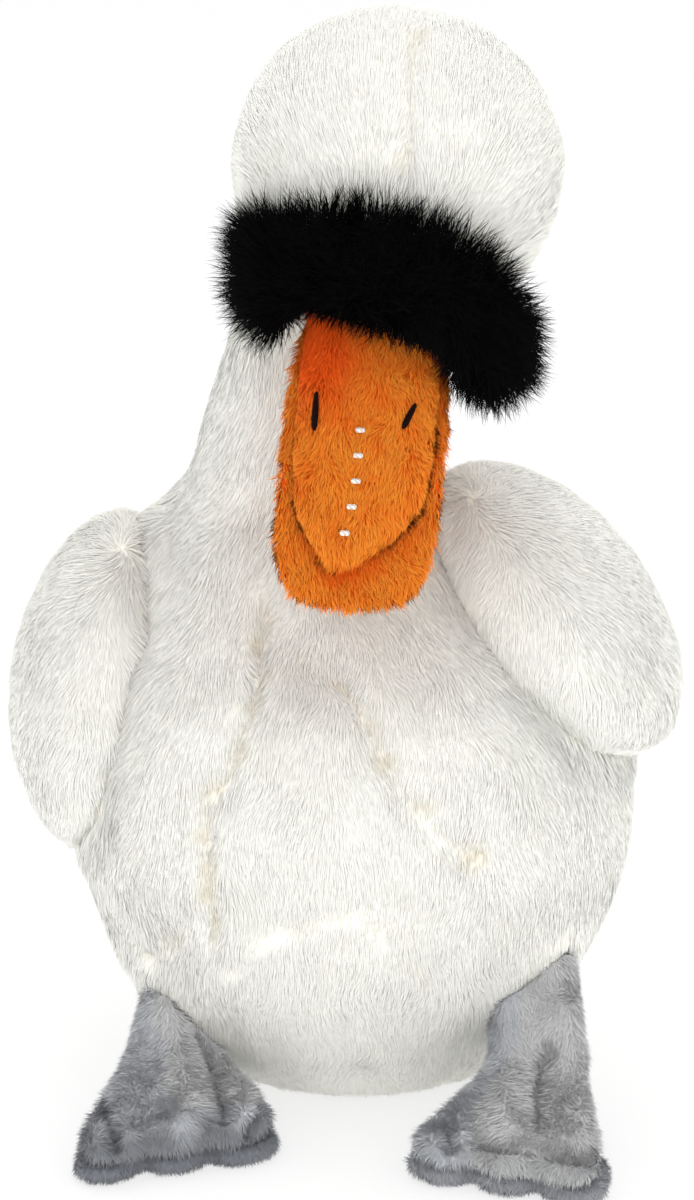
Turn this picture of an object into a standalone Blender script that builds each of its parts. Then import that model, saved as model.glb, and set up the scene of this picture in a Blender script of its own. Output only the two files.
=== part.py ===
"""A plush swan that sits on its belly with its neck up and its bill on its chest.

Metres, +Z up. The swan looks along -Y, so its own left side is at +X. The
origin is on the ground below the middle of the whole swan. The torso, neck and
head are one stuffed bag. The wings, tail, mask, bill, feet and soles are
padded pieces of their own, each sewn on with a seam gap, and the nostrils and
the stitches on the bill are thread.
"""

import math

import bmesh
import bpy
from mathutils import Matrix, Vector

# Gaps and seams
SEAM_GAP = 0.0003
SEAM_DEPTH = 0.0022
BACK_SEAM_DEPTH = 0.0013
SEAM_HALF_WIDTH = 0.0034
PUCKER_PITCH = 0.021
PUCKER_SHARE = 0.35

# Torso
BELLY_HALF_WIDTH = 0.079
BREAST_DEPTH = 0.076
RUMP_DEPTH = 0.090
BELLY_HEIGHT = 0.078
SHOULDER_HEIGHT = 0.158

# Neck
NECK_HALF_WIDTH = 0.0295
NECK_HALF_DEPTH = 0.0275
THROAT_HEIGHT = 0.217
NECK_X = -0.009

# Head
HEAD_RADIUS = 0.044
HEAD_CENTRE = Vector((0.0139, -0.020, 0.261))
HEAD_ROLL = 6.0
BILL_TURN = 9.0

# Bill
UPPER_BILL_LENGTH = 0.069
UPPER_BILL_HALF_WIDTH = 0.0194
UPPER_BILL_HEIGHT = 0.0145
UPPER_TIP_SHIFT = 0.0042
UPPER_TIP_START = 0.66
LOWER_BILL_LENGTH = 0.078
LOWER_BILL_HALF_WIDTH = 0.0222
LOWER_BILL_SHIFT = 0.0010
LOWER_BILL_HEIGHT = 0.0120

# The section of a lip: the share of its height below its widest line, and how
# round it is, from 0 for a box to 1 for an oval.
MOUTH_SHARE = 0.22
LIP_ROUNDNESS = 0.8

# Thread on the bill. A bar is deeper than it is thick, because the cloth holds it.
LEFT_NOSTRIL_LENGTH = 0.0078
RIGHT_NOSTRIL_LENGTH = 0.0108
LEFT_NOSTRIL_SLANT = -20.0
RIGHT_NOSTRIL_SLANT = 0.0
NOSTRIL_THICKNESS = 0.0017
NOSTRIL_SPREAD = 0.0120
NOSTRIL_PLACE = 0.0300
STITCH_COUNT = 5
STITCH_LENGTH = 0.0026
STITCH_THICKNESS = 0.0015
STITCH_PITCH = 0.0066
STITCH_START = 0.0350
THREAD_DEPTH_SHARE = 1.5

# Black mask over the root of the bill
MASK_HALF_HEIGHT = 0.0150
MASK_HALF_THICKNESS = 0.0090

# Wings
WING_FRONT = 0.056
WING_BACK = 0.074
WING_HALF_HEIGHT = 0.0470
WING_HALF_THICKNESS = 0.0250
WING_ROUNDNESS = 1.9
WING_BOW = 0.10
LEFT_WING_PLACE = Vector((0.0592, 0.006, 0.1368))
LEFT_WING_RAISE = 38.0
RIGHT_WING_PLACE = Vector((-0.0698, 0.021, 0.1120))
RIGHT_WING_RAISE = 9.0
WING_DROOP = 14.0

# Tail
TAIL_LENGTH = 0.044
TAIL_HALF_WIDTH = 0.024
TAIL_HALF_THICKNESS = 0.009
TAIL_PLACE = Vector((0.002, 0.082, 0.066))
TAIL_RISE = 22.0

# Feet
FOOT_LENGTH = 0.046
FOOT_HALF_WIDTH = 0.0268
FOOT_HALF_THICKNESS = 0.0048
LEG_HALF_WIDTH = 0.0140
LEG_HALF_THICKNESS = 0.0105
LEG_HEIGHT = 0.056
LEG_BACK = 0.028
LEFT_LEG_INSET = -0.011
RIGHT_LEG_INSET = 0.019
TOE_REACH = 0.0062
SOLE_THICKNESS = 0.0062
SOLE_FRONT = 0.93
SOLE_BACK = 0.62
SOLE_HEEL = 0.42
SOLE_HEEL_REACH = 0.13
LEFT_HEEL = Vector((0.0515, -0.044, 0.0))
LEFT_TOE_IN = -14.0
LEFT_TOE_SLANT = -8.0
RIGHT_HEEL = Vector((-0.0475, -0.029, 0.0))
RIGHT_TOE_IN = 3.0
RIGHT_TOE_SLANT = 16.0

# Mesh density
RINGS_PER_ROW = 3
FRONT_COLUMNS = 4
SIDE_COLUMNS = 10
WING_COLUMNS = 20
TAIL_COLUMNS = 14
MASK_COLUMNS = 14
BILL_COLUMNS = 20
FOOT_COLUMNS = 22
THREAD_COLUMNS = 8
SOLE_FRONT_STEPS = 18
SOLE_HEEL_STEPS = 14

# The torso from the seat up to the neck. Heights are shares of the belly's or
# the shoulder's height, half widths and depths are shares of the belly's. Each
# row holds height, x, y, half width, depth before and behind the centre line,
# half the angle of the breast panel, and the angle that the panel is turned by.
TORSO_ROWS = (
    (0.000 * BELLY_HEIGHT, 0.002, 0.026, 0.53, 0.54, 0.46, 34.0, 0.0),
    (0.045 * BELLY_HEIGHT, 0.002, 0.024, 0.60, 0.62, 0.56, 34.0, 0.0),
    (0.155 * BELLY_HEIGHT, 0.002, 0.020, 0.68, 0.71, 0.72, 33.0, 0.0),
    (0.310 * BELLY_HEIGHT, 0.001, 0.017, 0.78, 0.82, 0.86, 32.0, 0.0),
    (0.510 * BELLY_HEIGHT, 0.001, 0.014, 0.885, 0.92, 0.97, 31.0, 0.0),
    (0.745 * BELLY_HEIGHT, 0.002, 0.012, 0.965, 0.985, 1.00, 30.0, 0.0),
    (1.000 * BELLY_HEIGHT, 0.002, 0.010, 1.00, 1.00, 0.97, 29.0, -1.0),
    (0.630 * SHOULDER_HEIGHT, 0.002, 0.009, 0.98, 0.985, 0.88, 23.5, -6.5),
    (0.770 * SHOULDER_HEIGHT, 0.000, 0.009, 0.90, 0.895, 0.76, 13.5, -8.0),
    (0.895 * SHOULDER_HEIGHT, -0.003, 0.010, 0.785, 0.75, 0.62, 9.5, -9.5),
    (1.000 * SHOULDER_HEIGHT, -0.007, 0.011, 0.65, 0.58, 0.49, 10.0, -9.5),
)

# The neck up to the throat, as shares of its own half width and depth.
NECK_ROWS = (
    (0.793 * THROAT_HEIGHT, NECK_X, 0.011, 1.22, 1.26, 1.30, 13.0, -8.0),
    (0.866 * THROAT_HEIGHT, NECK_X, 0.010, 1.06, 1.08, 1.08, 16.0, -6.0),
    (0.935 * THROAT_HEIGHT, NECK_X + 0.003, 0.009, 1.00, 1.01, 1.02, 17.0, -4.0),
    (0.982 * THROAT_HEIGHT, NECK_X + 0.006, 0.008, 1.00, 0.98, 0.98, 17.0, -2.0),
)

# The head as slices that fan out from the throat and over the crown to the
# flat face that carries the bill. Each row holds the slice's middle in X, its
# throat point and its crown point in Y and Z, all in head radii from the head's
# centre, then its half width in head radii and its roll as a share of the head's.
HEAD_ROWS = (
    (-0.270, -0.023, -0.977, 1.136, -0.409, 0.727, 0.4),
    (-0.145, -0.057, -0.909, 0.909, 0.273, 0.864, 0.7),
    (-0.043, -0.091, -0.875, 0.455, 0.909, 0.977, 1.0),
    (0.000, -0.136, -0.864, -0.159, 1.000, 0.989, 1.0),
    (0.000, -0.170, -0.875, -0.636, 0.773, 0.932, 1.0),
    (-0.030, -0.193, -0.909, -0.932, 0.318, 0.795, 1.0),
    (-0.085, -0.193, -0.955, -1.023, -0.159, 0.648, 1.0),
    (-0.139, -0.125, -1.005, -0.966, -0.518, 0.525, 1.0),
)
THROAT_PANEL = 17.0

# Soft folds and swells on the front of the torso: the points of each line in X
# and Z, how far it sinks in, or swells out where negative, and its half width.
TORSO_FOLDS = (
    (((-0.020, 0.146), (-0.012, 0.138)), 0.0050, 0.0090),
    (((-0.048, 0.168), (-0.043, 0.150), (-0.049, 0.136)), 0.0030, 0.0065),
    (((-0.060, 0.047), (-0.046, 0.060)), 0.0045, 0.0075),
    (((-0.031, 0.054), (-0.020, 0.065), (0.001, 0.072)), 0.0016, 0.0055),
    (((0.006, 0.072), (0.022, 0.050)), 0.0018, 0.0055),
    (((-0.008, 0.118), (-0.002, 0.098)), -0.0030, 0.0130),
    (((-0.044, 0.122), (-0.052, 0.100)), -0.0022, 0.0120),
    (((0.026, 0.122), (0.044, 0.104)), -0.0022, 0.0110),
)

# Wing, tail, bill and foot outlines: place along the piece, half width, half
# thickness, as shares of the piece's own sizes.
WING_ROWS = (
    (-1.00, 0.10, 0.10),
    (-0.95, 0.44, 0.40),
    (-0.72, 0.82, 0.76),
    (-0.35, 1.00, 0.97),
    (0.05, 1.00, 1.00),
    (0.35, 0.90, 0.90),
    (0.62, 0.68, 0.70),
    (0.85, 0.40, 0.46),
    (0.97, 0.18, 0.24),
    (1.00, 0.06, 0.10),
)
TAIL_ROWS = (
    (0.00, 0.92, 1.00),
    (0.35, 1.00, 0.96),
    (0.65, 0.84, 0.80),
    (0.88, 0.52, 0.55),
    (0.98, 0.24, 0.30),
    (1.00, 0.08, 0.12),
)
UPPER_BILL_ROWS = (
    (0.00, 0.97, 1.00),
    (0.22, 1.00, 0.97),
    (0.48, 1.00, 0.88),
    (0.70, 0.95, 0.78),
    (0.82, 0.80, 0.70),
    (0.92, 0.50, 0.58),
    (0.98, 0.24, 0.42),
    (1.00, 0.10, 0.26),
)
LOWER_BILL_ROWS = (
    (0.00, 0.88, 1.00),
    (0.22, 0.98, 0.98),
    (0.50, 1.00, 0.90),
    (0.75, 0.98, 0.80),
    (0.88, 0.90, 0.70),
    (0.96, 0.70, 0.55),
    (0.99, 0.48, 0.36),
    (1.00, 0.34, 0.22),
)

# The mask's middle line from cheek to cheek, in head radii from the head's
# centre, with its height and thickness as shares of the mask's own.
MASK_ROWS = (
    (-0.730, -0.200, -0.620, 0.16, 0.25),
    (-0.770, -0.330, -0.590, 0.72, 0.66),
    (-0.730, -0.600, -0.510, 1.04, 0.90),
    (-0.590, -0.820, -0.410, 0.82, 1.00),
    (-0.370, -0.980, -0.370, 0.92, 1.00),
    (-0.050, -1.070, -0.410, 0.98, 1.00),
    (0.280, -0.980, -0.590, 0.98, 0.98),
    (0.510, -0.770, -0.850, 0.94, 0.98),
    (0.590, -0.560, -0.990, 0.72, 0.82),
    (0.600, -0.430, -1.050, 0.18, 0.30),
)

# The leg from its root inside the belly down to the ankle: its inset, its place
# behind the heel and its height as shares of the foot's own, its half width and
# thickness as shares of the leg's, and the way its section is pitched.
LEG_ROWS = (
    (1.00, 1.00, 1.00, 1.00, 1.00, 38.0),
    (0.50, 0.55, 0.76, 1.00, 1.00, 36.0),
    (0.14, 0.22, 0.52, 0.92, 0.92, 32.0),
    (0.00, -0.07, 0.34, 0.98, 0.90, 46.0),
)

# The web from the ankle to the toes: its place along the foot, its height over
# the sole in half thicknesses, its half width and half thickness as shares of
# the foot's own, its pitch, and how far the toes stand out of its edge.
WEB_ROWS = (
    (0.26, 1.71, 0.66, 1.60, 68.0, 0.00),
    (0.50, 1.29, 0.84, 1.25, 82.0, 0.15),
    (0.72, 1.00, 0.96, 1.00, 88.0, 0.50),
    (0.86, 0.92, 1.00, 0.92, 90.0, 0.90),
    (0.94, 0.72, 0.98, 0.72, 90.0, 1.00),
    (0.99, 0.34, 0.95, 0.34, 90.0, 1.00),
)

# The sole's side from the ground up: height and swell as shares of its thickness.
SOLE_ROWS = (
    (0.0, -0.42),
    (0.2, -0.06),
    (0.5, 0.16),
    (0.8, 0.08),
    (1.0, -0.19),
)

# A bar of thread: places along it and its thickness there, as shares of its own.
THREAD_ROWS = (
    (-1.00, 0.35),
    (-0.82, 0.85),
    (-0.40, 1.00),
    (0.40, 1.00),
    (0.82, 0.85),
    (1.00, 0.35),
)

WHITE_PLUSH = ("white_plush", (0.86, 0.855, 0.81, 1.0), 0.95)
BLACK_FUR = ("black_fur", (0.006, 0.006, 0.006, 1.0), 0.90)
ORANGE_PLUSH = ("orange_plush", (0.78, 0.168, 0.022, 1.0), 0.95)
GREY_PLUSH = ("grey_plush", (0.36, 0.365, 0.37, 1.0), 0.95)
DARK_GREY_PLUSH = ("dark_grey_plush", (0.16, 0.165, 0.18, 1.0), 0.95)
DARK_THREAD = ("dark_thread", (0.022, 0.010, 0.008, 1.0), 0.60)
WHITE_THREAD = ("white_thread", (0.88, 0.86, 0.82, 1.0), 0.60)


def material(look):
    """One Principled material for each look."""
    name, colour, roughness = look
    made = bpy.data.materials.get(name)
    if made is None:
        made = bpy.data.materials.new(name)
        made.use_nodes = True
        shader = made.node_tree.nodes["Principled BSDF"]
        shader.inputs["Base Color"].default_value = colour
        shader.inputs["Roughness"].default_value = roughness
        shader.inputs["Metallic"].default_value = 0.0
    return made


def add_object(name, mesh, look, parent):
    """A named object with its material, in the swan's own frame."""
    mesh.materials.append(material(look))
    mesh.shade_smooth()
    made = bpy.data.objects.new(name, mesh)
    made.parent = parent
    bpy.context.collection.objects.link(made)
    return made


def mesh_from(bm, name):
    """The bmesh as mesh data, in triangles that a grown copy shares, facing out."""
    bmesh.ops.recalc_face_normals(bm, faces=bm.faces[:])
    bmesh.ops.triangulate(bm, faces=bm.faces[:])
    mesh = bpy.data.meshes.new(name)
    bm.to_mesh(mesh)
    bm.free()
    return mesh


def spline(rows, steps):
    """A smooth curve through the rows, with the given steps between rows."""
    points = []
    last = len(rows) - 1
    for index in range(last):
        before = rows[max(index - 1, 0)]
        start = rows[index]
        end = rows[index + 1]
        after = rows[min(index + 2, last)]
        for step in range(steps):
            t = step / steps
            weights = (
                -0.5 * t + t * t - 0.5 * t**3,
                1.0 - 2.5 * t * t + 1.5 * t**3,
                0.5 * t + 2.0 * t * t - 1.5 * t**3,
                -0.5 * t * t + 0.5 * t**3,
            )
            knots = zip(before, start, end, after)
            points.append(tuple(sum(w * v for w, v in zip(weights, knot)) for knot in knots))
    points.append(tuple(rows[last]))
    return points


def loft(rings):
    """A closed skin over rings of equal length, with a flat cap at each end."""
    bm = bmesh.new()
    loops = [[bm.verts.new(point) for point in ring] for ring in rings]
    count = len(loops[0])
    for lower, upper in zip(loops, loops[1:]):
        for column in range(count):
            after = (column + 1) % count
            bm.faces.new((lower[column], lower[after], upper[after], upper[column]))
    bm.faces.new(loops[0])
    bm.faces.new(loops[-1])
    return bm


def oval(centre, across, up, half_width, half_height, count, power=2.2, floor=None):
    """A rounded ring in the plane of two directions, pressed flat on a floor."""
    points = []
    for index in range(count):
        angle = 2.0 * math.pi * index / count
        wide = math.copysign(abs(math.sin(angle)) ** (2.0 / power), math.sin(angle))
        high = math.copysign(abs(math.cos(angle)) ** (2.0 / power), math.cos(angle))
        point = centre + across * (half_width * wide) + up * (half_height * high)
        if floor is not None:
            point.z = max(point.z, floor)
        points.append(point)
    return points


def grown_copy(source, distance):
    """A cutter that is the source's shape, grown by a distance on every side."""
    bm = bmesh.new()
    bm.from_mesh(source.data)
    bm.normal_update()
    for vert in bm.verts:
        vert.co += vert.normal * (distance * vert.calc_shell_factor())
    mesh = mesh_from(bm, source.name + "_seam")
    cutter = bpy.data.objects.new(source.name + "_seam", mesh)
    cutter.parent = source.parent
    cutter.hide_render = True
    cutter.display_type = "WIRE"
    bpy.context.collection.objects.link(cutter)
    return cutter


def seat_on(piece, cutters):
    """Cut the piece back so that it lies on its neighbours at the seam gap."""
    for cutter in cutters:
        cut = piece.modifiers.new("seat on " + cutter.name, "BOOLEAN")
        cut.operation = "DIFFERENCE"
        cut.solver = "EXACT"
        cut.object = cutter


def body_columns(panel, turn, half_width, depth):
    """Angles round one slice, each with the seam it lies in: 1 breast, 2 back.

    Angle 0 looks to the breast. Three columns follow each edge of the breast
    panel and the seam down the back, and the rest share the panels evenly.
    """
    left = math.radians(turn + panel)
    right = math.radians(turn - panel)
    near = SEAM_HALF_WIDTH / half_width
    back = SEAM_HALF_WIDTH / depth
    columns = spread(right + near, left - near, FRONT_COLUMNS)
    columns.append((left, 1))
    columns += spread(left + near, math.pi - back, SIDE_COLUMNS)
    columns.append((math.pi, 2))
    columns += spread(math.pi + back, 2.0 * math.pi + right - near, SIDE_COLUMNS)
    columns.append((2.0 * math.pi + right, 1))
    return columns


def spread(start, end, between):
    """Evenly spread angles outside the seams, with both ends."""
    steps = between + 1
    return [(start + (end - start) * index / steps, 0) for index in range(steps + 1)]


def body_rows():
    """Slices of the bag: middle in X, front and back point in Y and Z, where the
    widest part lies between them, half width, seam strength, roll, panel, turn."""
    rows = []
    for height, x, y, width, front, back, panel, turn in TORSO_ROWS:
        before = y - front * BREAST_DEPTH
        behind = y + back * RUMP_DEPTH
        split = (y - before) / (behind - before)
        half_width = width * BELLY_HALF_WIDTH
        rows.append((x, before, height, behind, height, split, half_width, 1.0, 0.0, panel, turn))
    for height, x, y, width, front, back, panel, turn in NECK_ROWS:
        before = y - front * NECK_HALF_DEPTH
        behind = y + back * NECK_HALF_DEPTH
        split = (y - before) / (behind - before)
        half_width = width * NECK_HALF_WIDTH
        strength = 1.0 if height < SHOULDER_HEIGHT * 1.15 else 0.5
        rows.append((x, before, height, behind, height, split, half_width, strength, 0.0, panel, turn))
    for x, throat_y, throat_z, crown_y, crown_z, width, roll in HEAD_ROWS:
        middle = HEAD_CENTRE.x + HEAD_RADIUS * x
        throat = (HEAD_CENTRE.y + HEAD_RADIUS * throat_y, HEAD_CENTRE.z + HEAD_RADIUS * throat_z)
        crown = (HEAD_CENTRE.y + HEAD_RADIUS * crown_y, HEAD_CENTRE.z + HEAD_RADIUS * crown_z)
        sizes = (0.5, width * HEAD_RADIUS, 0.0, roll * HEAD_ROLL, THROAT_PANEL, 0.0)
        rows.append((middle,) + throat + crown + sizes)
    return rows


def slice_frame(row):
    """A slice's centre, its way across, its way from throat to crown, and its depths."""
    x, front_y, front_z, back_y, back_z, split = row[:6]
    through = Vector((0.0, back_y - front_y, back_z - front_z))
    lean = math.radians(row[8])
    across = Vector((math.cos(lean), 0.0, -math.sin(lean)))
    over = through.normalized()
    over = Vector((over.z * math.sin(lean), over.y, over.z * math.cos(lean)))
    centre = Vector((x, front_y + split * through.y, front_z + split * through.z))
    return centre, across, over, split * through.length, (1.0 - split) * through.length


def fold_depth(x, z):
    """How far the folds and swells of the torso's front sink a point in."""
    sunk = 0.0
    here = Vector((x, z))
    for line, depth, half_width in TORSO_FOLDS:
        nearest = min(distance_to(here, Vector(a), Vector(b)) for a, b in zip(line, line[1:]))
        sunk += depth * math.exp(-((nearest / half_width) ** 2))
    return sunk


def distance_to(point, start, end):
    """The distance from a point to the stretch between two others."""
    along = end - start
    share = max(0.0, min(1.0, (point - start).dot(along) / along.length_squared))
    return (point - start - along * share).length


def body_mesh():
    """The torso, neck and head as one bag, with its seams and folds."""
    rings = []
    travelled = 0.0
    previous = None
    for row in spline(body_rows(), RINGS_PER_ROW):
        half_width, strength = row[6:8]
        panel, turn = row[9:]
        centre, across, over, front, back = slice_frame(row)
        if previous is not None:
            travelled += (centre - previous).length
        previous = centre
        pucker = 1.0 + PUCKER_SHARE * math.sin(2.0 * math.pi * travelled / PUCKER_PITCH)
        ring = []
        for angle, seam in body_columns(panel, turn, half_width, back):
            depth = front if math.cos(angle) > 0.0 else back
            spoke = across * (half_width * math.sin(angle)) - over * (depth * math.cos(angle))
            sink = (0.0, SEAM_DEPTH * strength, BACK_SEAM_DEPTH)[seam] * pucker
            ring.append(centre + spoke * (1.0 - sink / spoke.length))
        rings.append(ring)
    bm = loft(rings)
    bm.normal_update()
    for vert in bm.verts:
        if vert.normal.y < 0.0 and 0.0 < vert.co.z < 1.1 * SHOULDER_HEIGHT:
            facing = min(1.0, -2.5 * vert.normal.y)
            vert.co -= vert.normal * (facing * fold_depth(vert.co.x, vert.co.z))
    return mesh_from(bm, "body")


def face_frame():
    """The face patch: its centre, across, up over the brow, and out along the bill."""
    centre, across, over = slice_frame(body_rows()[-1])[:3]
    out = across.cross(over)
    turn = Matrix.Rotation(math.radians(BILL_TURN), 3, out)
    return centre, turn @ across, turn @ over, out


def tip_shift(place):
    """How far the upper lip's tip leans to the swan's right, at a place along it."""
    share = max(0.0, (place - UPPER_TIP_START) / (1.0 - UPPER_TIP_START))
    return UPPER_TIP_SHIFT * share * share


def bill_lip(name, rows, length, half_width, height, side):
    """One lip of the bill: flat along the mouth, rounded outside, seated on the face."""
    centre, across, over, out = face_frame()
    middle = 0.5 * (LOWER_BILL_HEIGHT - UPPER_BILL_HEIGHT)
    rings = []
    for place, width, thickness in spline(rows, 2):
        start = centre + over * (middle + side * 0.5 * SEAM_GAP)
        spot = start + out * (SEAM_GAP + place * (length - SEAM_GAP))
        spot -= across * (tip_shift(place) if side > 0.0 else LOWER_BILL_SHIFT)
        ring = []
        for index in range(BILL_COLUMNS):
            angle = 2.0 * math.pi * index / BILL_COLUMNS
            wide = math.copysign(abs(math.sin(angle)) ** LIP_ROUNDNESS, math.sin(angle))
            high = math.cos(angle)
            reach = 1.0 - MOUTH_SHARE if high > 0.0 else -MOUTH_SHARE
            lift = side * (MOUTH_SHARE + reach * abs(high) ** LIP_ROUNDNESS) * height * thickness
            ring.append(spot + across * (half_width * width * wide) + over * lift)
        rings.append(ring)
    return mesh_from(loft(rings), name)


def bill_surface(place, offset):
    """A point just over the upper lip's rounded outside, its outward way, and along."""
    centre, across, over, out = face_frame()
    middle = 0.5 * (LOWER_BILL_HEIGHT - UPPER_BILL_HEIGHT)
    share = place / UPPER_BILL_LENGTH
    near = min(spline(UPPER_BILL_ROWS, 8), key=lambda row: abs(row[0] - share))
    half_width = UPPER_BILL_HALF_WIDTH * near[1]
    wide = (abs(offset) / half_width) ** (1.0 / LIP_ROUNDNESS)
    rise = MOUTH_SHARE + (1.0 - MOUTH_SHARE) * math.sqrt(1.0 - wide * wide) ** LIP_ROUNDNESS
    top = middle + 0.5 * SEAM_GAP + rise * UPPER_BILL_HEIGHT * near[2]
    outward = (over + across * math.copysign(wide, offset)).normalized()
    aside = offset - tip_shift(share)
    return centre + across * aside + over * top + out * place, outward, out


def thread_bar(name, centre, along, outward, length, thickness):
    """A rounded bar of thread, half sunk in the cloth that it is sewn through."""
    side = along.cross(outward).normalized()
    half = 0.5 * length
    radius = 0.5 * thickness
    rings = []
    for share, size in THREAD_ROWS:
        spot = centre + along * (half * share)
        wide, deep = radius * size, radius * size * THREAD_DEPTH_SHARE
        rings.append(oval(spot, side, outward, wide, deep, THREAD_COLUMNS, 2.0))
    return mesh_from(loft(rings), name)


def mask_mesh():
    """The fur mask: a curved pad from cheek to cheek over the root of the bill."""
    rings = []
    line = spline(MASK_ROWS, 3)
    centres = [HEAD_CENTRE + HEAD_RADIUS * Vector(row[:3]) for row in line]
    for index, row in enumerate(line):
        ahead = centres[min(index + 1, len(line) - 1)]
        behind = centres[max(index - 1, 0)]
        along = (ahead - behind).normalized()
        outward = along.cross(Vector((0.0, 0.0, 1.0))).normalized()
        up = outward.cross(along).normalized()
        rings.append(oval(centres[index], outward, up, MASK_HALF_THICKNESS * row[4],
                          MASK_HALF_HEIGHT * row[3], MASK_COLUMNS, 2.4))
    return mesh_from(loft(rings), "mask")


def wing_mesh(name, place, raise_angle, side):
    """One padded wing: a drop-shaped pillow, blunt at the shoulder, pointed behind."""
    lean = math.radians(raise_angle)
    droop = math.radians(WING_DROOP)
    outward = Vector((side * math.cos(lean), 0.0, math.sin(lean)))
    level = Vector((0.0, 1.0, 0.0))
    rise = Vector((-side * math.sin(lean), 0.0, math.cos(lean)))
    along = level * math.cos(droop) - rise * math.sin(droop)
    up = rise * math.cos(droop) + level * math.sin(droop)
    rings = []
    for share, height, thickness in spline(WING_ROWS, 2):
        reach = share * (WING_BACK if share > 0.0 else WING_FRONT)
        inward = outward * (-WING_BOW * WING_HALF_THICKNESS * share * share)
        centre = place + along * reach + inward
        rings.append(oval(centre, outward, up, WING_HALF_THICKNESS * thickness,
                          WING_HALF_HEIGHT * height, WING_COLUMNS, WING_ROUNDNESS))
    return mesh_from(loft(rings), name)


def tail_mesh():
    """The tail: a short padded flap that points back and up."""
    rise = math.radians(TAIL_RISE)
    along = Vector((0.0, math.cos(rise), math.sin(rise)))
    up = Vector((0.0, -math.sin(rise), math.cos(rise)))
    across = Vector((1.0, 0.0, 0.0))
    rings = []
    for share, width, thickness in spline(TAIL_ROWS, 2):
        centre = TAIL_PLACE + along * (share * TAIL_LENGTH)
        rings.append(oval(centre, across, up, TAIL_HALF_WIDTH * width,
                          TAIL_HALF_THICKNESS * thickness, TAIL_COLUMNS, 2.2))
    return mesh_from(loft(rings), "tail")


def toe_lobe(share):
    """How far a toe reaches at a share of the foot's half width: three round toes."""
    return abs(math.cos(1.5 * math.pi * share)) ** 0.7


def foot_turn(heel, turn):
    """The matrix that turns a foot's own frame and puts its heel in place."""
    return Matrix.Translation(heel) @ Matrix.Rotation(math.radians(turn), 4, "Z")


def slanted(point, slant):
    """The point of a foot, moved forward on its outer side, from heel to toes."""
    share = max(0.0, min(1.0, -point.y / FOOT_LENGTH))
    point.y += math.tan(math.radians(slant)) * point.x * share
    return point


def foot_mesh(name, heel, turn, slant, inset):
    """The leg and the top of a webbed foot, from inside the belly to the toes."""
    floor = SOLE_THICKNESS + SEAM_GAP
    rows = []
    for aside, behind, height, width, thickness, pitch in LEG_ROWS:
        section = (width * LEG_HALF_WIDTH, thickness * LEG_HALF_THICKNESS, pitch, 0.0)
        rows.append((aside * inset, -behind * LEG_BACK, height * LEG_HEIGHT) + section)
    for place, height, width, thickness, pitch, toes in WEB_ROWS:
        section = (width * FOOT_HALF_WIDTH, thickness * FOOT_HALF_THICKNESS, pitch, toes)
        rows.append((0.0, place * FOOT_LENGTH, floor + height * FOOT_HALF_THICKNESS) + section)
    rings = []
    for x, reach, height, half_width, half_thickness, pitch, toes in spline(rows, 2):
        lean = math.radians(pitch)
        up = Vector((0.0, -math.cos(lean), math.sin(lean)))
        centre = Vector((x, -reach, height))
        across = Vector((1.0, 0.0, 0.0))
        ring = oval(centre, across, up, half_width, half_thickness, FOOT_COLUMNS, 2.2, floor)
        for point in ring:
            point.y -= toes * TOE_REACH * (toe_lobe(point.x / FOOT_HALF_WIDTH) - 0.5)
        rings.append([slanted(point, slant) for point in ring])
    mesh = mesh_from(loft(rings), name)
    mesh.transform(foot_turn(heel, turn))
    return mesh


def sole_outline(grow):
    """The sole seen from above: a narrow heel, a spread web and three round toes."""
    half = FOOT_HALF_WIDTH + grow
    points = []
    for index in range(SOLE_FRONT_STEPS + 1):
        share = -1.0 + 2.0 * index / SOLE_FRONT_STEPS
        reach = FOOT_LENGTH * SOLE_FRONT + grow + TOE_REACH * (toe_lobe(share) - 0.5)
        points.append((share * half, -reach))
    heel = FOOT_HALF_WIDTH * SOLE_HEEL + grow
    heel_reach = FOOT_LENGTH * SOLE_HEEL_REACH + grow
    for index in range(1, SOLE_HEEL_STEPS):
        angle = math.pi * index / SOLE_HEEL_STEPS
        wide = math.cos(angle)
        side = heel + (half - heel) * abs(wide) ** 3
        forward = FOOT_LENGTH * SOLE_BACK * abs(wide) ** 2.2
        points.append((side * wide, heel_reach * math.sin(angle) - forward))
    return points


def sole_mesh(name, heel, turn, slant):
    """The padded sole under a foot, from the ground up to the seam round the foot."""
    rings = []
    for share, swell in SOLE_ROWS:
        ring = [Vector((x, y, share * SOLE_THICKNESS)) for x, y in sole_outline(swell * SOLE_THICKNESS)]
        rings.append([slanted(point, slant) for point in ring])
    mesh = mesh_from(loft(rings), name)
    mesh.transform(foot_turn(heel, turn))
    return mesh


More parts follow.
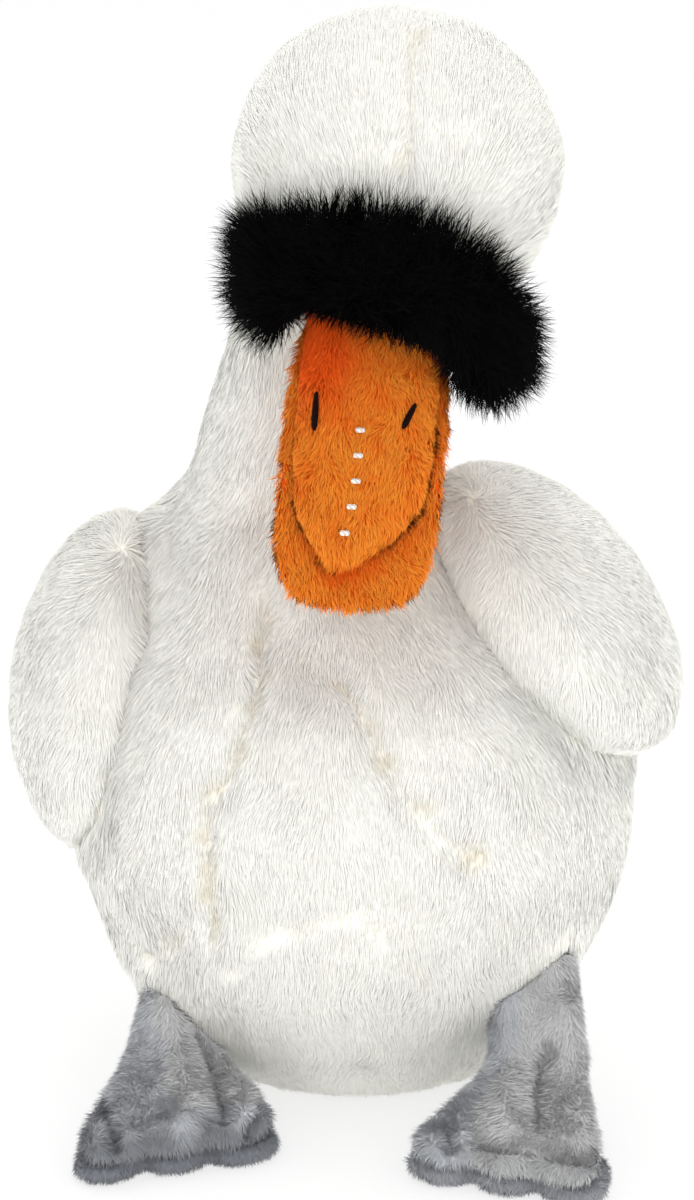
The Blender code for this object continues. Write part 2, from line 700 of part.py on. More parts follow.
def build_bill(root):
    """Both lips, the nostrils and the stitches down the middle of the upper lip."""
    upper = add_object("upper_bill", bill_lip("upper_bill", UPPER_BILL_ROWS, UPPER_BILL_LENGTH,
                       UPPER_BILL_HALF_WIDTH, UPPER_BILL_HEIGHT, 1.0), ORANGE_PLUSH, root)
    lower = add_object("lower_bill", bill_lip("lower_bill", LOWER_BILL_ROWS, LOWER_BILL_LENGTH,
                       LOWER_BILL_HALF_WIDTH, LOWER_BILL_HEIGHT, -1.0), ORANGE_PLUSH, root)
    seam = grown_copy(upper, SEAM_GAP)
    for name, side, length, slant in (
        ("left_nostril", 1.0, LEFT_NOSTRIL_LENGTH, LEFT_NOSTRIL_SLANT),
        ("right_nostril", -1.0, RIGHT_NOSTRIL_LENGTH, RIGHT_NOSTRIL_SLANT),
    ):
        spot, outward, along = bill_surface(NOSTRIL_PLACE, side * NOSTRIL_SPREAD)
        along = Matrix.Rotation(math.radians(slant), 3, outward) @ along
        mesh = thread_bar(name, spot, along, outward, length, NOSTRIL_THICKNESS)
        seat_on(add_object(name, mesh, DARK_THREAD, root), [seam])
    for index in range(STITCH_COUNT):
        name = "stitch_%d" % (index + 1)
        spot, outward, along = bill_surface(STITCH_START + index * STITCH_PITCH, 0.0)
        across = along.cross(outward).normalized()
        mesh = thread_bar(name, spot, across, outward, STITCH_LENGTH, STITCH_THICKNESS)
        seat_on(add_object(name, mesh, WHITE_THREAD, root), [seam])
    return upper, lower, seam


def centre_on_ground(root):
    """Move the root so that the origin is on the ground below the swan's middle."""
    bpy.context.view_layer.update()
    graph = bpy.context.evaluated_depsgraph_get()
    corners = []
    for piece in root.children:
        if not piece.hide_render:
            solid = piece.evaluated_get(graph)
            corners += [solid.matrix_world @ vert.co for vert in solid.data.vertices]
    low = [min(corner[axis] for corner in corners) for axis in range(3)]
    high = [max(corner[axis] for corner in corners) for axis in range(3)]
    root.location = (-0.5 * (low[0] + high[0]), -0.5 * (low[1] + high[1]), -low[2])


def main():
    for old in list(bpy.data.objects):
        bpy.data.objects.remove(old)

    root = bpy.data.objects.new("swan", None)
    bpy.context.collection.objects.link(root)

    body = add_object("body", body_mesh(), WHITE_PLUSH, root)
    body_seam = grown_copy(body, SEAM_GAP)

    upper, lower, upper_seam = build_bill(root)
    lower_seam = grown_copy(lower, SEAM_GAP)
    mask = add_object("mask", mask_mesh(), BLACK_FUR, root)
    seat_on(mask, [body_seam, upper_seam, lower_seam])

    left_wing = wing_mesh("left_wing", LEFT_WING_PLACE, LEFT_WING_RAISE, 1.0)
    seat_on(add_object("left_wing", left_wing, WHITE_PLUSH, root), [body_seam])
    right_wing = wing_mesh("right_wing", RIGHT_WING_PLACE, RIGHT_WING_RAISE, -1.0)
    seat_on(add_object("right_wing", right_wing, WHITE_PLUSH, root), [body_seam])
    seat_on(add_object("tail", tail_mesh(), WHITE_PLUSH, root), [body_seam])

    left_foot = foot_mesh("left_foot", LEFT_HEEL, LEFT_TOE_IN, LEFT_TOE_SLANT, LEFT_LEG_INSET)
    seat_on(add_object("left_foot", left_foot, GREY_PLUSH, root), [body_seam])
    right_foot = foot_mesh("right_foot", RIGHT_HEEL, RIGHT_TOE_IN, RIGHT_TOE_SLANT, RIGHT_LEG_INSET)
    seat_on(add_object("right_foot", right_foot, GREY_PLUSH, root), [body_seam])
    left_sole = sole_mesh("left_sole", LEFT_HEEL, LEFT_TOE_IN, LEFT_TOE_SLANT)
    add_object("left_sole", left_sole, DARK_GREY_PLUSH, root)
    right_sole = sole_mesh("right_sole", RIGHT_HEEL, RIGHT_TOE_IN, RIGHT_TOE_SLANT)
    add_object("right_sole", right_sole, DARK_GREY_PLUSH, root)

    centre_on_ground(root)


main()
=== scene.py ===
# %% [markdown]
# # A plush swan
# The toy is sewn from white pile fabric and stuffed: a round head on a slender neck, a full body, puffed
# wings and a short tail. A band of long black pile lies across the face, the bill is a pair of orange
# pads with sewn nostrils and a row of stitches, and the feet are grey webs on soles.
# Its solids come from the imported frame. This lesson grows the pile on them, one piece at a time.

import math

import bmesh
import bpy
import numpy as np
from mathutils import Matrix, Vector, noise
from mathutils.bvhtree import BVHTree


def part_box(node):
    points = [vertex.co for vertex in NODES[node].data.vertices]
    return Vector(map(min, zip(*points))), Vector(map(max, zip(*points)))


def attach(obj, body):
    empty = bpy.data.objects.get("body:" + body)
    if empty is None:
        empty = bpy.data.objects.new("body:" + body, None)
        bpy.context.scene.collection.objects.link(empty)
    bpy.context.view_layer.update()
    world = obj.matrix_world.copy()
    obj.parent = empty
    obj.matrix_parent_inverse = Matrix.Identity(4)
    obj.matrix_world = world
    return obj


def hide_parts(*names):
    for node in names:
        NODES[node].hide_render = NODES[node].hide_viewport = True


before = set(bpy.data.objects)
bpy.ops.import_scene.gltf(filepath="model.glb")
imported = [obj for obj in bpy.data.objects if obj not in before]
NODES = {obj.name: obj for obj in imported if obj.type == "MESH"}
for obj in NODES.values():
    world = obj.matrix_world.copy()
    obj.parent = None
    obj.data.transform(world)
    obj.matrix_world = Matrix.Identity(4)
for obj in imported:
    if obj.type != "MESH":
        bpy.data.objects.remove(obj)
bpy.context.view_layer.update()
MM = 0.001

# %% [markdown]
# ## From solids to cloth
# A solid from the frame is loose triangles of all sizes, and pile would stand on them in clumps. They could
# be subdivided, but long ones would stay long. So a copy is merged, wrapped in an even net of small faces
# by a voxel remesh, and softened. Blender's Cloth with pressure could also puff it up, but that was not
# tried. Later the net is sunk a little, because the hand and the eye meet the tips of the pile first.

# %% Bake modifiers into a plain mesh
def baked(piece):
    """Turns what the piece's modifiers make into its own plain mesh."""
    depsgraph = bpy.context.evaluated_depsgraph_get()
    mesh = bpy.data.meshes.new_from_object(piece.evaluated_get(depsgraph))
    old = piece.data
    piece.modifiers.clear()
    piece.data = mesh
    bpy.data.meshes.remove(old)
    return piece


def new_piece(name, mesh):
    piece = bpy.data.objects.new(name, mesh)
    bpy.context.scene.collection.objects.link(piece)
    return piece


# %% Read and write vertices
def rows_of(items, field):
    """A place or a direction for each item, as rows of three numbers."""
    values = np.zeros(len(items) * 3, np.float32)
    items.foreach_get(field, values)
    return values.reshape(-1, 3).astype(float)


def points_of(mesh):
    return rows_of(mesh.vertices, "co")


def normals_of(mesh):
    return rows_of(mesh.vertex_normals, "vector")


def put_points(mesh, places):
    """Moves each vertex to its new place."""
    mesh.vertices.foreach_set("co", places.astype(np.float32).ravel())
    mesh.update()


def store(mesh, name, values):
    """Keeps a number or a direction for each vertex, for the pile and the materials to read."""
    values = np.asarray(values, np.float32)
    kind, field = ("FLOAT_VECTOR", "vector") if values.ndim == 2 else ("FLOAT", "value")
    layer = mesh.attributes.get(name) or mesh.attributes.new(name, kind, "POINT")
    layer.data.foreach_set(field, values.ravel())


def read(mesh, name):
    """The numbers kept for each vertex."""
    values = np.zeros(len(mesh.vertices), np.float32)
    mesh.attributes[name].data.foreach_get("value", values)
    return values.astype(float)


# %% A solid's triangles, joined
MERGE_GAP = 0.01 * MM


def merged_copy(node):
    """A solid's mesh with its loose triangles joined."""
    net = bmesh.new()
    net.from_mesh(NODES[node].data)
    bmesh.ops.remove_doubles(net, verts=net.verts, dist=MERGE_GAP)
    mesh = bpy.data.meshes.new(node + "_cloth")
    net.to_mesh(mesh)
    net.free()
    return mesh


# %% An even net of small faces around a solid
SOFTEN_SHARE = 0.5


def softened(piece, rounds):
    """Draws each vertex towards its neighbours, and bakes the piece."""
    soften = piece.modifiers.new("soften", "SMOOTH")
    soften.factor = SOFTEN_SHARE
    soften.iterations = rounds
    return baked(piece)


def cloth_of(node, face_size, rounds=3):
    """The solid's shape as an even, softened net of faces."""
    piece = new_piece(node + "_plush", merged_copy(node))
    wrap = piece.modifiers.new("wrap", "REMESH")
    wrap.mode = "VOXEL"
    wrap.voxel_size = face_size
    softened(piece, rounds)
    piece.data.materials.clear()
    return piece


def hollows(piece, rounds, depth):
    """How deep each vertex lies in a crease: 0 on open cloth, 1 at the given depth."""
    copy = softened(new_piece("smoothed", piece.data.copy()), rounds)
    drop = ((points_of(copy.data) - points_of(piece.data)) * normals_of(piece.data)).sum(1)
    mesh = copy.data
    bpy.data.objects.remove(copy)
    bpy.data.meshes.remove(mesh)
    return np.clip(drop / depth, 0, 1)


# %% [markdown]
# ## Seams and folds
# A seam pulls the cloth in along its line, and stuffing lifts it in a soft ridge. Each panel could be a
# mesh of its own, but its pile would stop at the edge. One net with its vertices moved along lines keeps
# the pile whole. Lines are given as they are seen from the front, so they are compared with the cloth in
# that view and move only what faces it.

# %% A slow random flow, from a fixed seed, because without one Blender's noise starts from the clock
NOISE_SEED = 1
SEED_STEPS = (7.3, 3.1, 5.7)
LEAST_LENGTH = 1e-9
noise.seed_set(NOISE_SEED)


def wander(places, pitch, seed):
    """A slow random direction for each place, in swirls of the given size."""
    shift = Vector([seed * step for step in SEED_STEPS])
    return np.array([noise.noise_vector(Vector(place) / pitch + shift)[:] for place in places])


def unit(rows):
    """Each direction at a length of one."""
    return rows / np.maximum(np.linalg.norm(rows, axis=1, keepdims=True), LEAST_LENGTH)


# %% The view from the front
VIEW_TILT = math.radians(15)
TO_VIEWER = np.array((0, -math.cos(VIEW_TILT), math.sin(VIEW_TILT)))
VIEW_PLANE = np.array(((1, 0, 0), (0, math.sin(VIEW_TILT), math.cos(VIEW_TILT)))).T


def gap_to_line(places, line):
    """The distance of each place from a line of points, seen from the front."""
    spots, corners = places @ VIEW_PLANE, np.array(line) @ VIEW_PLANE
    gap = np.full(len(spots), 1.0)
    for start, end in zip(corners, corners[1:]):
        way = end - start
        share = np.clip(((spots - start) @ way) / (way @ way), 0, 1)
        gap = np.minimum(gap, np.linalg.norm(spots - start - share[:, None] * way, axis=1))
    return gap


# %% Sew a line into a cloth
FACING_GAIN = 2.5
BACKING_SHADE_WIDER = 2.2
BACKING_SHADE_PATCH = 6 * MM
BACKING_SHADE_SEED = 71
BACKING_SHADE_LEAST, BACKING_SHADE_SWING = 0.2, 1.8


def sew(piece, lines, depth, half_width, tint):
    """Sinks the cloth along lines, or lifts it where depth is negative, and notes how strongly the backing
    shows there, painted darker as shade.
    """
    mesh = piece.data
    places, normals = points_of(mesh), normals_of(mesh)
    facing = np.clip(FACING_GAIN * (normals @ TO_VIEWER), 0, 1)
    gaps = np.min([gap_to_line(places, line) for line in lines], axis=0)
    pull = np.exp(-((gaps / half_width) ** 2)) * facing
    mottled = np.clip(BACKING_SHADE_LEAST + BACKING_SHADE_SWING * wander(places, BACKING_SHADE_PATCH, BACKING_SHADE_SEED)[:, 0], 0, 1)
    backing_and_shade = tint * np.exp(-((gaps / (BACKING_SHADE_WIDER * half_width)) ** 2)) * facing * mottled
    put_points(mesh, places - normals * (depth * pull)[:, None])
    before = read(mesh, "sewn") if mesh.attributes.get("sewn") is not None else 0
    store(mesh, "sewn", np.maximum(before, backing_and_shade))


# %% [markdown]
# ## Which cloth is out of sight
# Where two pads are sewn together nothing shows, so no pile grows there. These places could be painted by
# hand, but a test follows the solids when they change. Each vertex is tested against the other solids:
# near one, or inside it, the pile is left out.

# %% The other solids as search trees
SMALL = [name for name in NODES if name.startswith("stitch") or name.endswith("nostril")]
TREES = {}
for name in NODES:
    if name not in SMALL:
        mesh = merged_copy(name)
        mesh.calc_loop_triangles()
        TREES[name] = BVHTree.FromPolygons(
            [v.co.copy() for v in mesh.vertices], [tuple(t.vertices) for t in mesh.loop_triangles]
        )
        bpy.data.meshes.remove(mesh)
print("Solids that pile can meet:", sorted(TREES))

# %% Open or covered
FAR = 30 * MM


def open_cloth(node, places, normals, reach):
    """1 where the cloth is open to the air, 0 where another solid covers it, and the gap to that solid."""
    others = [tree for name, tree in TREES.items() if name != node]
    seen, gaps = np.ones(len(places)), np.full(len(places), FAR)
    for index, (place, normal) in enumerate(zip(places, normals)):
        point, outwards = Vector(place), Vector(normal)
        for tree in others:
            gap = tree.find_nearest(point, FAR)[3]
            if gap is None:
                continue
            gaps[index] = min(gaps[index], gap)
            hit = tree.ray_cast(point, outwards)[1]
            if gap < reach or (hit is not None and hit.dot(outwards) > 0):
                seen[index] = 0
                break
    return seen, gaps


# %% [markdown]
# ## The tree that grows pile
# Pile is the same strand thousands of times. Hair curves could make it, but the export keeps only faces,
# so Geometry Nodes plant small blades. Points are scattered over the cloth, and each gets one narrow blade
# that leans the way the pile is combed. The tree reads four things that are kept on the cloth: the way up,
# the way the pile lies, how long it is and how dense. Its inputs have names, its seed is fixed, and it ends
# in real faces with their material.

# %% Strand shapes
def strand(name, sections):
    """A blade one unit long: sections are (height, width, bend) shares, and the last is the tip."""
    corners, heights = [], []
    for height, width, bend in sections[:-1]:
        corners += [(-width / 2, bend, height), (width / 2, bend, height)]
        heights += [height, height]
    corners.append((0, sections[-1][2], sections[-1][0]))
    heights.append(1.0)
    faces = [(i, i + 2, i + 3, i + 1) for i in range(0, len(corners) - 3, 2)]
    faces.append((len(corners) - 3, len(corners) - 1, len(corners) - 2))
    mesh = bpy.data.meshes.new(name)
    mesh.from_pydata(corners, [], faces)
    store(mesh, "reach", heights)
    return new_piece(name, mesh)


SHORT_STRAND = strand("short_strand", [(0.0, 1.0, 0.0), (1.0, 0.0, -0.06)])
BENT_STRAND = strand("bent_strand", [(0.0, 1.0, 0.0), (0.55, 0.75, 0.05), (1.0, 0.0, -0.14)])
print("Strands have", len(SHORT_STRAND.data.polygons), "and", len(BENT_STRAND.data.polygons), "faces")


# %% How much strands differ, and what keeps their random draws apart
LENGTH_SHARES = (0.65, 1.1)
WIDTH_SHARES = (0.7, 1.2)
DRAWS = {"ruffle": 11, "turn": 23, "length": 37, "width": 41, "tone": 53, "glint": 67}


# %% The pile tree
def pile_tree():
    """Scatters points on a cloth and plants a blade on each."""
    tree = bpy.data.node_groups.new("pile", "GeometryNodeTree")
    face = tree.interface
    face.new_socket("Cloth", in_out="INPUT", socket_type="NodeSocketGeometry")
    for label in ("Density", "Length", "Width", "Lean", "Ruffle", "Glint", "Roll"):
        face.new_socket(label, in_out="INPUT", socket_type="NodeSocketFloat")
    face.new_socket("Seed", in_out="INPUT", socket_type="NodeSocketInt")
    face.new_socket("Keep Cloth", in_out="INPUT", socket_type="NodeSocketBool")
    face.new_socket("Strand", in_out="INPUT", socket_type="NodeSocketObject")
    face.new_socket("Finish", in_out="INPUT", socket_type="NodeSocketMaterial")
    face.new_socket("Plush", in_out="OUTPUT", socket_type="NodeSocketGeometry")

    def node(kind, **settings):
        made = tree.nodes.new(kind)
        for key, value in settings.items():
            setattr(made, key, value)
        return made

    def plug(source, target):
        tree.links.new(source, target)

    def kept(name, kind="FLOAT"):
        made = node("GeometryNodeInputNamedAttribute", data_type=kind)
        made.inputs["Name"].default_value = name
        return made.outputs["Attribute"]

    def number(operation, a, b):
        made = node("ShaderNodeMath", operation=operation)
        plug(a, made.inputs[0])
        plug(b, made.inputs[1])
        return made.outputs[0]

    def scaled(vector, share):
        made = node("ShaderNodeVectorMath", operation="SCALE")
        plug(vector, made.inputs[0])
        plug(share, made.inputs["Scale"])
        return made.outputs[0]

    def added(a, b):
        made = node("ShaderNodeVectorMath", operation="ADD")
        plug(a, made.inputs[0])
        plug(b, made.inputs[1])
        return made.outputs[0]

    def chance(use, low, high, kind="FLOAT"):
        """A random value for each point, drawn apart from those for other uses."""
        made = node("FunctionNodeRandomValue", data_type=kind)
        shift = node("ShaderNodeMath", operation="ADD")
        plug(given.outputs["Seed"], shift.inputs[0])
        shift.inputs[1].default_value = DRAWS[use]
        plug(shift.outputs[0], made.inputs["Seed"])
        at = 0 if kind == "FLOAT_VECTOR" else 1
        low_socket = [s for s in made.inputs if s.name == "Min"][at]
        high_socket = [s for s in made.inputs if s.name == "Max"][at]
        low_socket.default_value = low
        high_socket.default_value = high
        return [s for s in made.outputs if s.name == "Value"][at]

    given = node("NodeGroupInput")
    up, comb = kept("up", "FLOAT_VECTOR"), kept("comb", "FLOAT_VECTOR")
    scatter = node("GeometryNodeDistributePointsOnFaces", distribute_method="RANDOM")
    plug(given.outputs["Cloth"], scatter.inputs["Mesh"])
    plug(number("MULTIPLY", given.outputs["Density"], kept("cover")), scatter.inputs["Density"])
    plug(given.outputs["Seed"], scatter.inputs["Seed"])

    wild = chance("ruffle", (-1, -1, -1), (1, 1, 1), "FLOAT_VECTOR")
    lean = added(added(up, scaled(comb, given.outputs["Lean"])), scaled(wild, given.outputs["Ruffle"]))
    along = node("FunctionNodeAlignRotationToVector", axis="Z")
    plug(lean, along.inputs["Vector"])
    outward = node("FunctionNodeAlignRotationToVector", axis="Y", pivot_axis="Z")
    plug(along.outputs[0], outward.inputs["Rotation"])
    plug(up, outward.inputs["Vector"])
    turn = node("FunctionNodeAxisAngleToRotation")
    turn.inputs["Axis"].default_value = (0, 0, 1)
    plug(number("MULTIPLY", chance("turn", -1.0, 1.0), given.outputs["Roll"]), turn.inputs["Angle"])
    rolled = node("FunctionNodeRotateRotation", rotation_space="LOCAL")
    plug(outward.outputs[0], rolled.inputs["Rotation"])
    plug(turn.outputs[0], rolled.inputs["Rotate By"])

    length = number("MULTIPLY", given.outputs["Length"], kept("pile"))
    length = number("MULTIPLY", length, chance("length", *LENGTH_SHARES))
    width = number("MULTIPLY", given.outputs["Width"], chance("width", *WIDTH_SHARES))
    size = node("ShaderNodeCombineXYZ")
    plug(width, size.inputs[0])
    plug(length, size.inputs[1])
    plug(length, size.inputs[2])

    tone = node("GeometryNodeStoreNamedAttribute", data_type="FLOAT", domain="POINT")
    tone.inputs["Name"].default_value = "tone"
    plug(scatter.outputs["Points"], tone.inputs["Geometry"])
    plug(chance("tone", 0.0, 1.0), tone.inputs["Value"])
    glint = node("GeometryNodeStoreNamedAttribute", data_type="FLOAT_VECTOR", domain="POINT")
    glint.inputs["Name"].default_value = "glint"
    plug(tone.outputs["Geometry"], glint.inputs["Geometry"])
    flicker = chance("glint", (-1, -1, -1), (1, 1, 1), "FLOAT_VECTOR")
    plug(added(up, scaled(flicker, given.outputs["Glint"])), glint.inputs["Value"])

    shape = node("GeometryNodeObjectInfo")
    plug(given.outputs["Strand"], shape.inputs["Object"])
    plant = node("GeometryNodeInstanceOnPoints")
    plug(glint.outputs["Geometry"], plant.inputs["Points"])
    plug(shape.outputs["Geometry"], plant.inputs["Instance"])
    plug(rolled.outputs[0], plant.inputs["Rotation"])
    plug(size.outputs[0], plant.inputs["Scale"])

    cloth = node("GeometryNodeSwitch", input_type="GEOMETRY")
    plug(given.outputs["Keep Cloth"], cloth.inputs["Switch"])
    plug(given.outputs["Cloth"], cloth.inputs["True"])
    both = node("GeometryNodeJoinGeometry")
    plug(plant.outputs["Instances"], both.inputs[0])
    plug(cloth.outputs[0], both.inputs[0])
    real = node("GeometryNodeRealizeInstances")
    plug(both.outputs[0], real.inputs[0])
    finish = node("GeometryNodeSetMaterial")
    plug(real.outputs[0], finish.inputs["Geometry"])
    plug(given.outputs["Finish"], finish.inputs["Material"])
    result = node("NodeGroupOutput")
    plug(finish.outputs[0], result.inputs["Plush"])
    return tree


PILE = pile_tree()
SOCKETS = {item.name: item.identifier for item in PILE.interface.items_tree if item.in_out == "INPUT"}
print("The pile tree has the inputs", sorted(SOCKETS))


# %% Grow pile on a cloth
FLOOR_GAP = 0.1 * MM


def grow(piece, finish, strand_shape, density, length, width, lean, ruffle, glint, roll, seed, keep=True):
    """Runs the pile tree, with density in strands for each square millimetre, bakes it, keeps the strands
    above the floor and lets their shading follow the cloth."""
    pile = piece.modifiers.new("pile", "NODES")
    pile.node_group = PILE
    values = {
        "Density": density / MM**2,
        "Length": length,
        "Width": width,
        "Lean": lean,
        "Ruffle": ruffle,
        "Glint": glint,
        "Roll": roll,
        "Seed": seed,
        "Keep Cloth": keep,
        "Strand": strand_shape,
        "Finish": finish,
    }
    for label, value in values.items():
        pile[SOCKETS[label]] = value
    baked(piece)
    mesh = piece.data
    places = points_of(mesh)
    places[:, 2] = np.maximum(places[:, 2], FLOOR_GAP)
    put_points(mesh, places)
    directions = rows_of(mesh.attributes["glint"].data, "vector")
    mesh.shade_smooth()
    mesh.normals_split_custom_set_from_vertices(directions.tolist())
    for spent in ("up", "comb", "cover", "pile", "glint", "sewn"):
        layer = mesh.attributes.get(spent)
        if layer is not None:
            mesh.attributes.remove(layer)
    triangles = sum(len(p.vertices) - 2 for p in mesh.polygons)
    print(piece.name, "has", triangles, "triangles")


# %% [markdown]
# ## How the pile is combed
# The way the pile lies is what tells soft plush from a rough ball. Strands could lie at random, but combed
# pile shades smoothly. Each part of the toy has one flow, such as down the body, and a wander in swirls of
# 6 to 18 mm gathers neighbours into soft tufts. Pile hides most of a seam between two pads, so beside one
# the white cloth rises a little and its pile is longer. In a crease the pile is shorter.

# %% Values of the comb
CREASE_ROUNDS = 30
CREASE_DEPTH = 0.9 * MM
CREASE_SHORTER = 0.35
HOLLOW_SHARE = 0.5
SEAM_REACH = 9 * MM
SEAM_RISE = 0.6 * MM
SEAM_LONGER = 0.7
FINE_SHARE = 0.5
FINER = 2.7
LUMP_WIDE, LUMP_NARROW = 0.8, 0.3
LYING_LEAST, LYING_MOST = 0.6, 1.2


# %% Comb a cloth
def comb(piece, node, flow, wobble, pitch, inset, seed, reach=0.6 * MM, swell=0.0, join=0.0):
    """Sinks the cloth under the pile and keeps the pile's directions, length and density on it."""
    mesh = piece.data
    places, normals = points_of(mesh), normals_of(mesh)
    # how deep each vertex lies in a crease or seam, where the materials paint the backing and shade
    crease_and_shade = hollows(piece, CREASE_ROUNDS, CREASE_DEPTH)
    if mesh.attributes.get("sewn") is not None:
        crease_and_shade = np.maximum(HOLLOW_SHARE * crease_and_shade, read(mesh, "sewn"))
    seen, gaps = open_cloth(node, places, normals, reach)
    beside = join * np.clip(1 - gaps / SEAM_REACH, 0, 1)
    slow, fine = wander(places, pitch, seed), wander(places, pitch / FINER, seed + 1)
    direction = flow(places, normals) + wobble * slow + FINE_SHARE * wobble * fine
    direction -= normals * (direction * normals).sum(1, keepdims=True)
    wide, narrow = wander(places, LUMP_WIDE * pitch, seed + 2), wander(places, LUMP_NARROW * pitch, seed + 3)
    lumps = wide[:, :1] + FINE_SHARE * narrow[:, :1]
    sunk = inset - (inset + SEAM_RISE) * beside[:, None] - swell * lumps
    put_points(mesh, places - normals * sunk)
    store(mesh, "up", normals)
    store(mesh, "glint", normals)
    lying = np.clip(np.linalg.norm(direction, axis=1, keepdims=True), LYING_LEAST, LYING_MOST)
    store(mesh, "comb", unit(direction) * lying)
    store(mesh, "crease_and_shade", crease_and_shade)
    store(mesh, "cover", seen)
    store(mesh, "pile", 1 - CREASE_SHORTER * crease_and_shade + SEAM_LONGER * beside)


def trim(piece, shares):
    """Shortens the pile to a share at each vertex, or makes it longer where the share is over 1."""
    store(piece.data, "pile", read(piece.data, "pile") * shares)


# %% [markdown]
# ## Finishes
# On plush the root of a strand is darker and warmer than its tip, partly in the fibre's own colour and
# partly as painted shade deep in the pile. Strands differ a little, and a crease shows the backing and is
# painted darker as shade. A painted picture of fur wouldn't follow the strands, so one shader group tints
# them all from what is kept on the mesh. Each material adds its own colours and sheen. A strand is lit on
# both sides as the cloth below is, because light passes through real hair. That normal is made in each
# material and not in the group.

# %% Where the tint changes
ROOT_SHARE = 0.8
PATCH_FROM, PATCH_FULL = 0.45, 0.7
CREASE_SHADE_FROM, CREASE_SHADE_MOST = 0.15, 0.9
CLOUD_DETAIL = 3


# %% The pile tint group
def tint_group():
    """Mixes a strand's colour from its root and tip, and paints crease and shade colours over it as shade."""
    group = bpy.data.node_groups.new("pile_tint", "ShaderNodeTree")
    face = group.interface
    for label in ("Root", "Tip", "Crease", "Shade"):
        face.new_socket(label, in_out="INPUT", socket_type="NodeSocketColor")
    for label in ("Spread", "Patch", "Patch Scale"):
        face.new_socket(label, in_out="INPUT", socket_type="NodeSocketFloat")
    face.new_socket("Color", in_out="OUTPUT", socket_type="NodeSocketColor")
    given, result = group.nodes.new("NodeGroupInput"), group.nodes.new("NodeGroupOutput")

    def kept(name):
        made = group.nodes.new("ShaderNodeAttribute")
        made.attribute_name = name
        return made.outputs["Fac"]

    def mixed(share, a, b):
        made = group.nodes.new("ShaderNodeMix")
        made.data_type = "RGBA"
        group.links.new(share, made.inputs["Factor"])
        group.links.new(a, made.inputs["A"])
        group.links.new(b, made.inputs["B"])
        return made.outputs["Result"]

    def ranged(value, low, high, to_low, to_high):
        made = group.nodes.new("ShaderNodeMapRange")
        group.links.new(value, made.inputs["Value"])
        for socket, number in zip(made.inputs[1:5], (low, high, to_low, to_high)):
            socket.default_value = number
        return made.outputs[0]

    def times(a, b):
        made = group.nodes.new("ShaderNodeMath")
        made.operation = "MULTIPLY"
        group.links.new(a, made.inputs[0])
        group.links.new(b, made.inputs[1])
        return made.outputs[0]

    place = group.nodes.new("ShaderNodeTexCoord")
    cloud = group.nodes.new("ShaderNodeTexNoise")
    cloud.inputs["Detail"].default_value = CLOUD_DETAIL
    group.links.new(place.outputs["Object"], cloud.inputs["Vector"])
    group.links.new(given.outputs["Patch Scale"], cloud.inputs["Scale"])

    # darker and warmer towards the root: partly the fibre's own colour, partly painted shade deep in the pile
    along = ranged(kept("reach"), 0.0, ROOT_SHARE, 0.0, 1.0)
    base = mixed(along, given.outputs["Root"], given.outputs["Tip"])
    base = mixed(times(kept("tone"), given.outputs["Spread"]), base, given.outputs["Root"])
    patch = times(ranged(cloud.outputs["Fac"], PATCH_FROM, PATCH_FULL, 0.0, 1.0), given.outputs["Patch"])
    base = mixed(patch, base, given.outputs["Root"])
    # painted shade where a shade share is kept: turned pile, soles, and the bill's pads
    base = mixed(kept("shade"), base, given.outputs["Shade"])
    # painted shade in creases, folds and along the feet's lower edges, over the backing's own colour
    base = mixed(ranged(kept("crease_and_shade"), CREASE_SHADE_FROM, 1.0, 0.0, CREASE_SHADE_MOST), base, given.outputs["Crease"])
    group.links.new(base, result.inputs["Color"])
    return group


TINT = tint_group()
print("The tint group has", len(TINT.nodes), "nodes")


# %% A screen colour
def colour(red, green, blue):
    """A screen colour from 0 to 255 as linear light."""
    parts = [value / 255 for value in (red, green, blue)]
    return tuple(p / 12.92 if p <= 0.04045 else ((p + 0.055) / 1.055) ** 2.4 for p in parts) + (1.0,)


# %% Light on both sides of a strand
TURNED_MOST, TURNED_NONE = -0.6, 0.4


def both_sides_lit(nodes, links):
    """The cloth's normal for both sides of a strand, turned to the eye where it faces away from it."""

    def vector(operation, a, b, at=1):
        made = nodes.new("ShaderNodeVectorMath")
        made.operation = operation
        links.new(a, made.inputs[0])
        links.new(b, made.inputs[at])
        return made

    seen = nodes.new("ShaderNodeNewGeometry")
    # 1 on the front of a strand and -1 on its back
    side = nodes.new("ShaderNodeMath")
    side.operation = "MULTIPLY_ADD"
    side.inputs[1].default_value = -2
    side.inputs[2].default_value = 1
    links.new(seen.outputs["Backfacing"], side.inputs[0])
    outwards = vector("SCALE", seen.outputs["Normal"], side.outputs[0], at=3)
    to_eye = vector("DOT_PRODUCT", outwards.outputs[0], seen.outputs["Incoming"])
    short = nodes.new("ShaderNodeMapRange")
    links.new(to_eye.outputs["Value"], short.inputs["Value"])
    for socket, number in zip(short.inputs[1:5], (TURNED_MOST, TURNED_NONE, 1.0, 0.0)):
        socket.default_value = number
    lift = vector("SCALE", seen.outputs["Incoming"], short.outputs[0], at=3)
    turned = vector("ADD", outwards.outputs[0], lift.outputs[0])
    even = nodes.new("ShaderNodeVectorMath")
    even.operation = "NORMALIZE"
    links.new(turned.outputs[0], even.inputs[0])
    return even.outputs[0]


# %% The five plush finishes
PILE_ROUGHNESS = 0.8
SHEEN_ROUGHNESS = 0.6


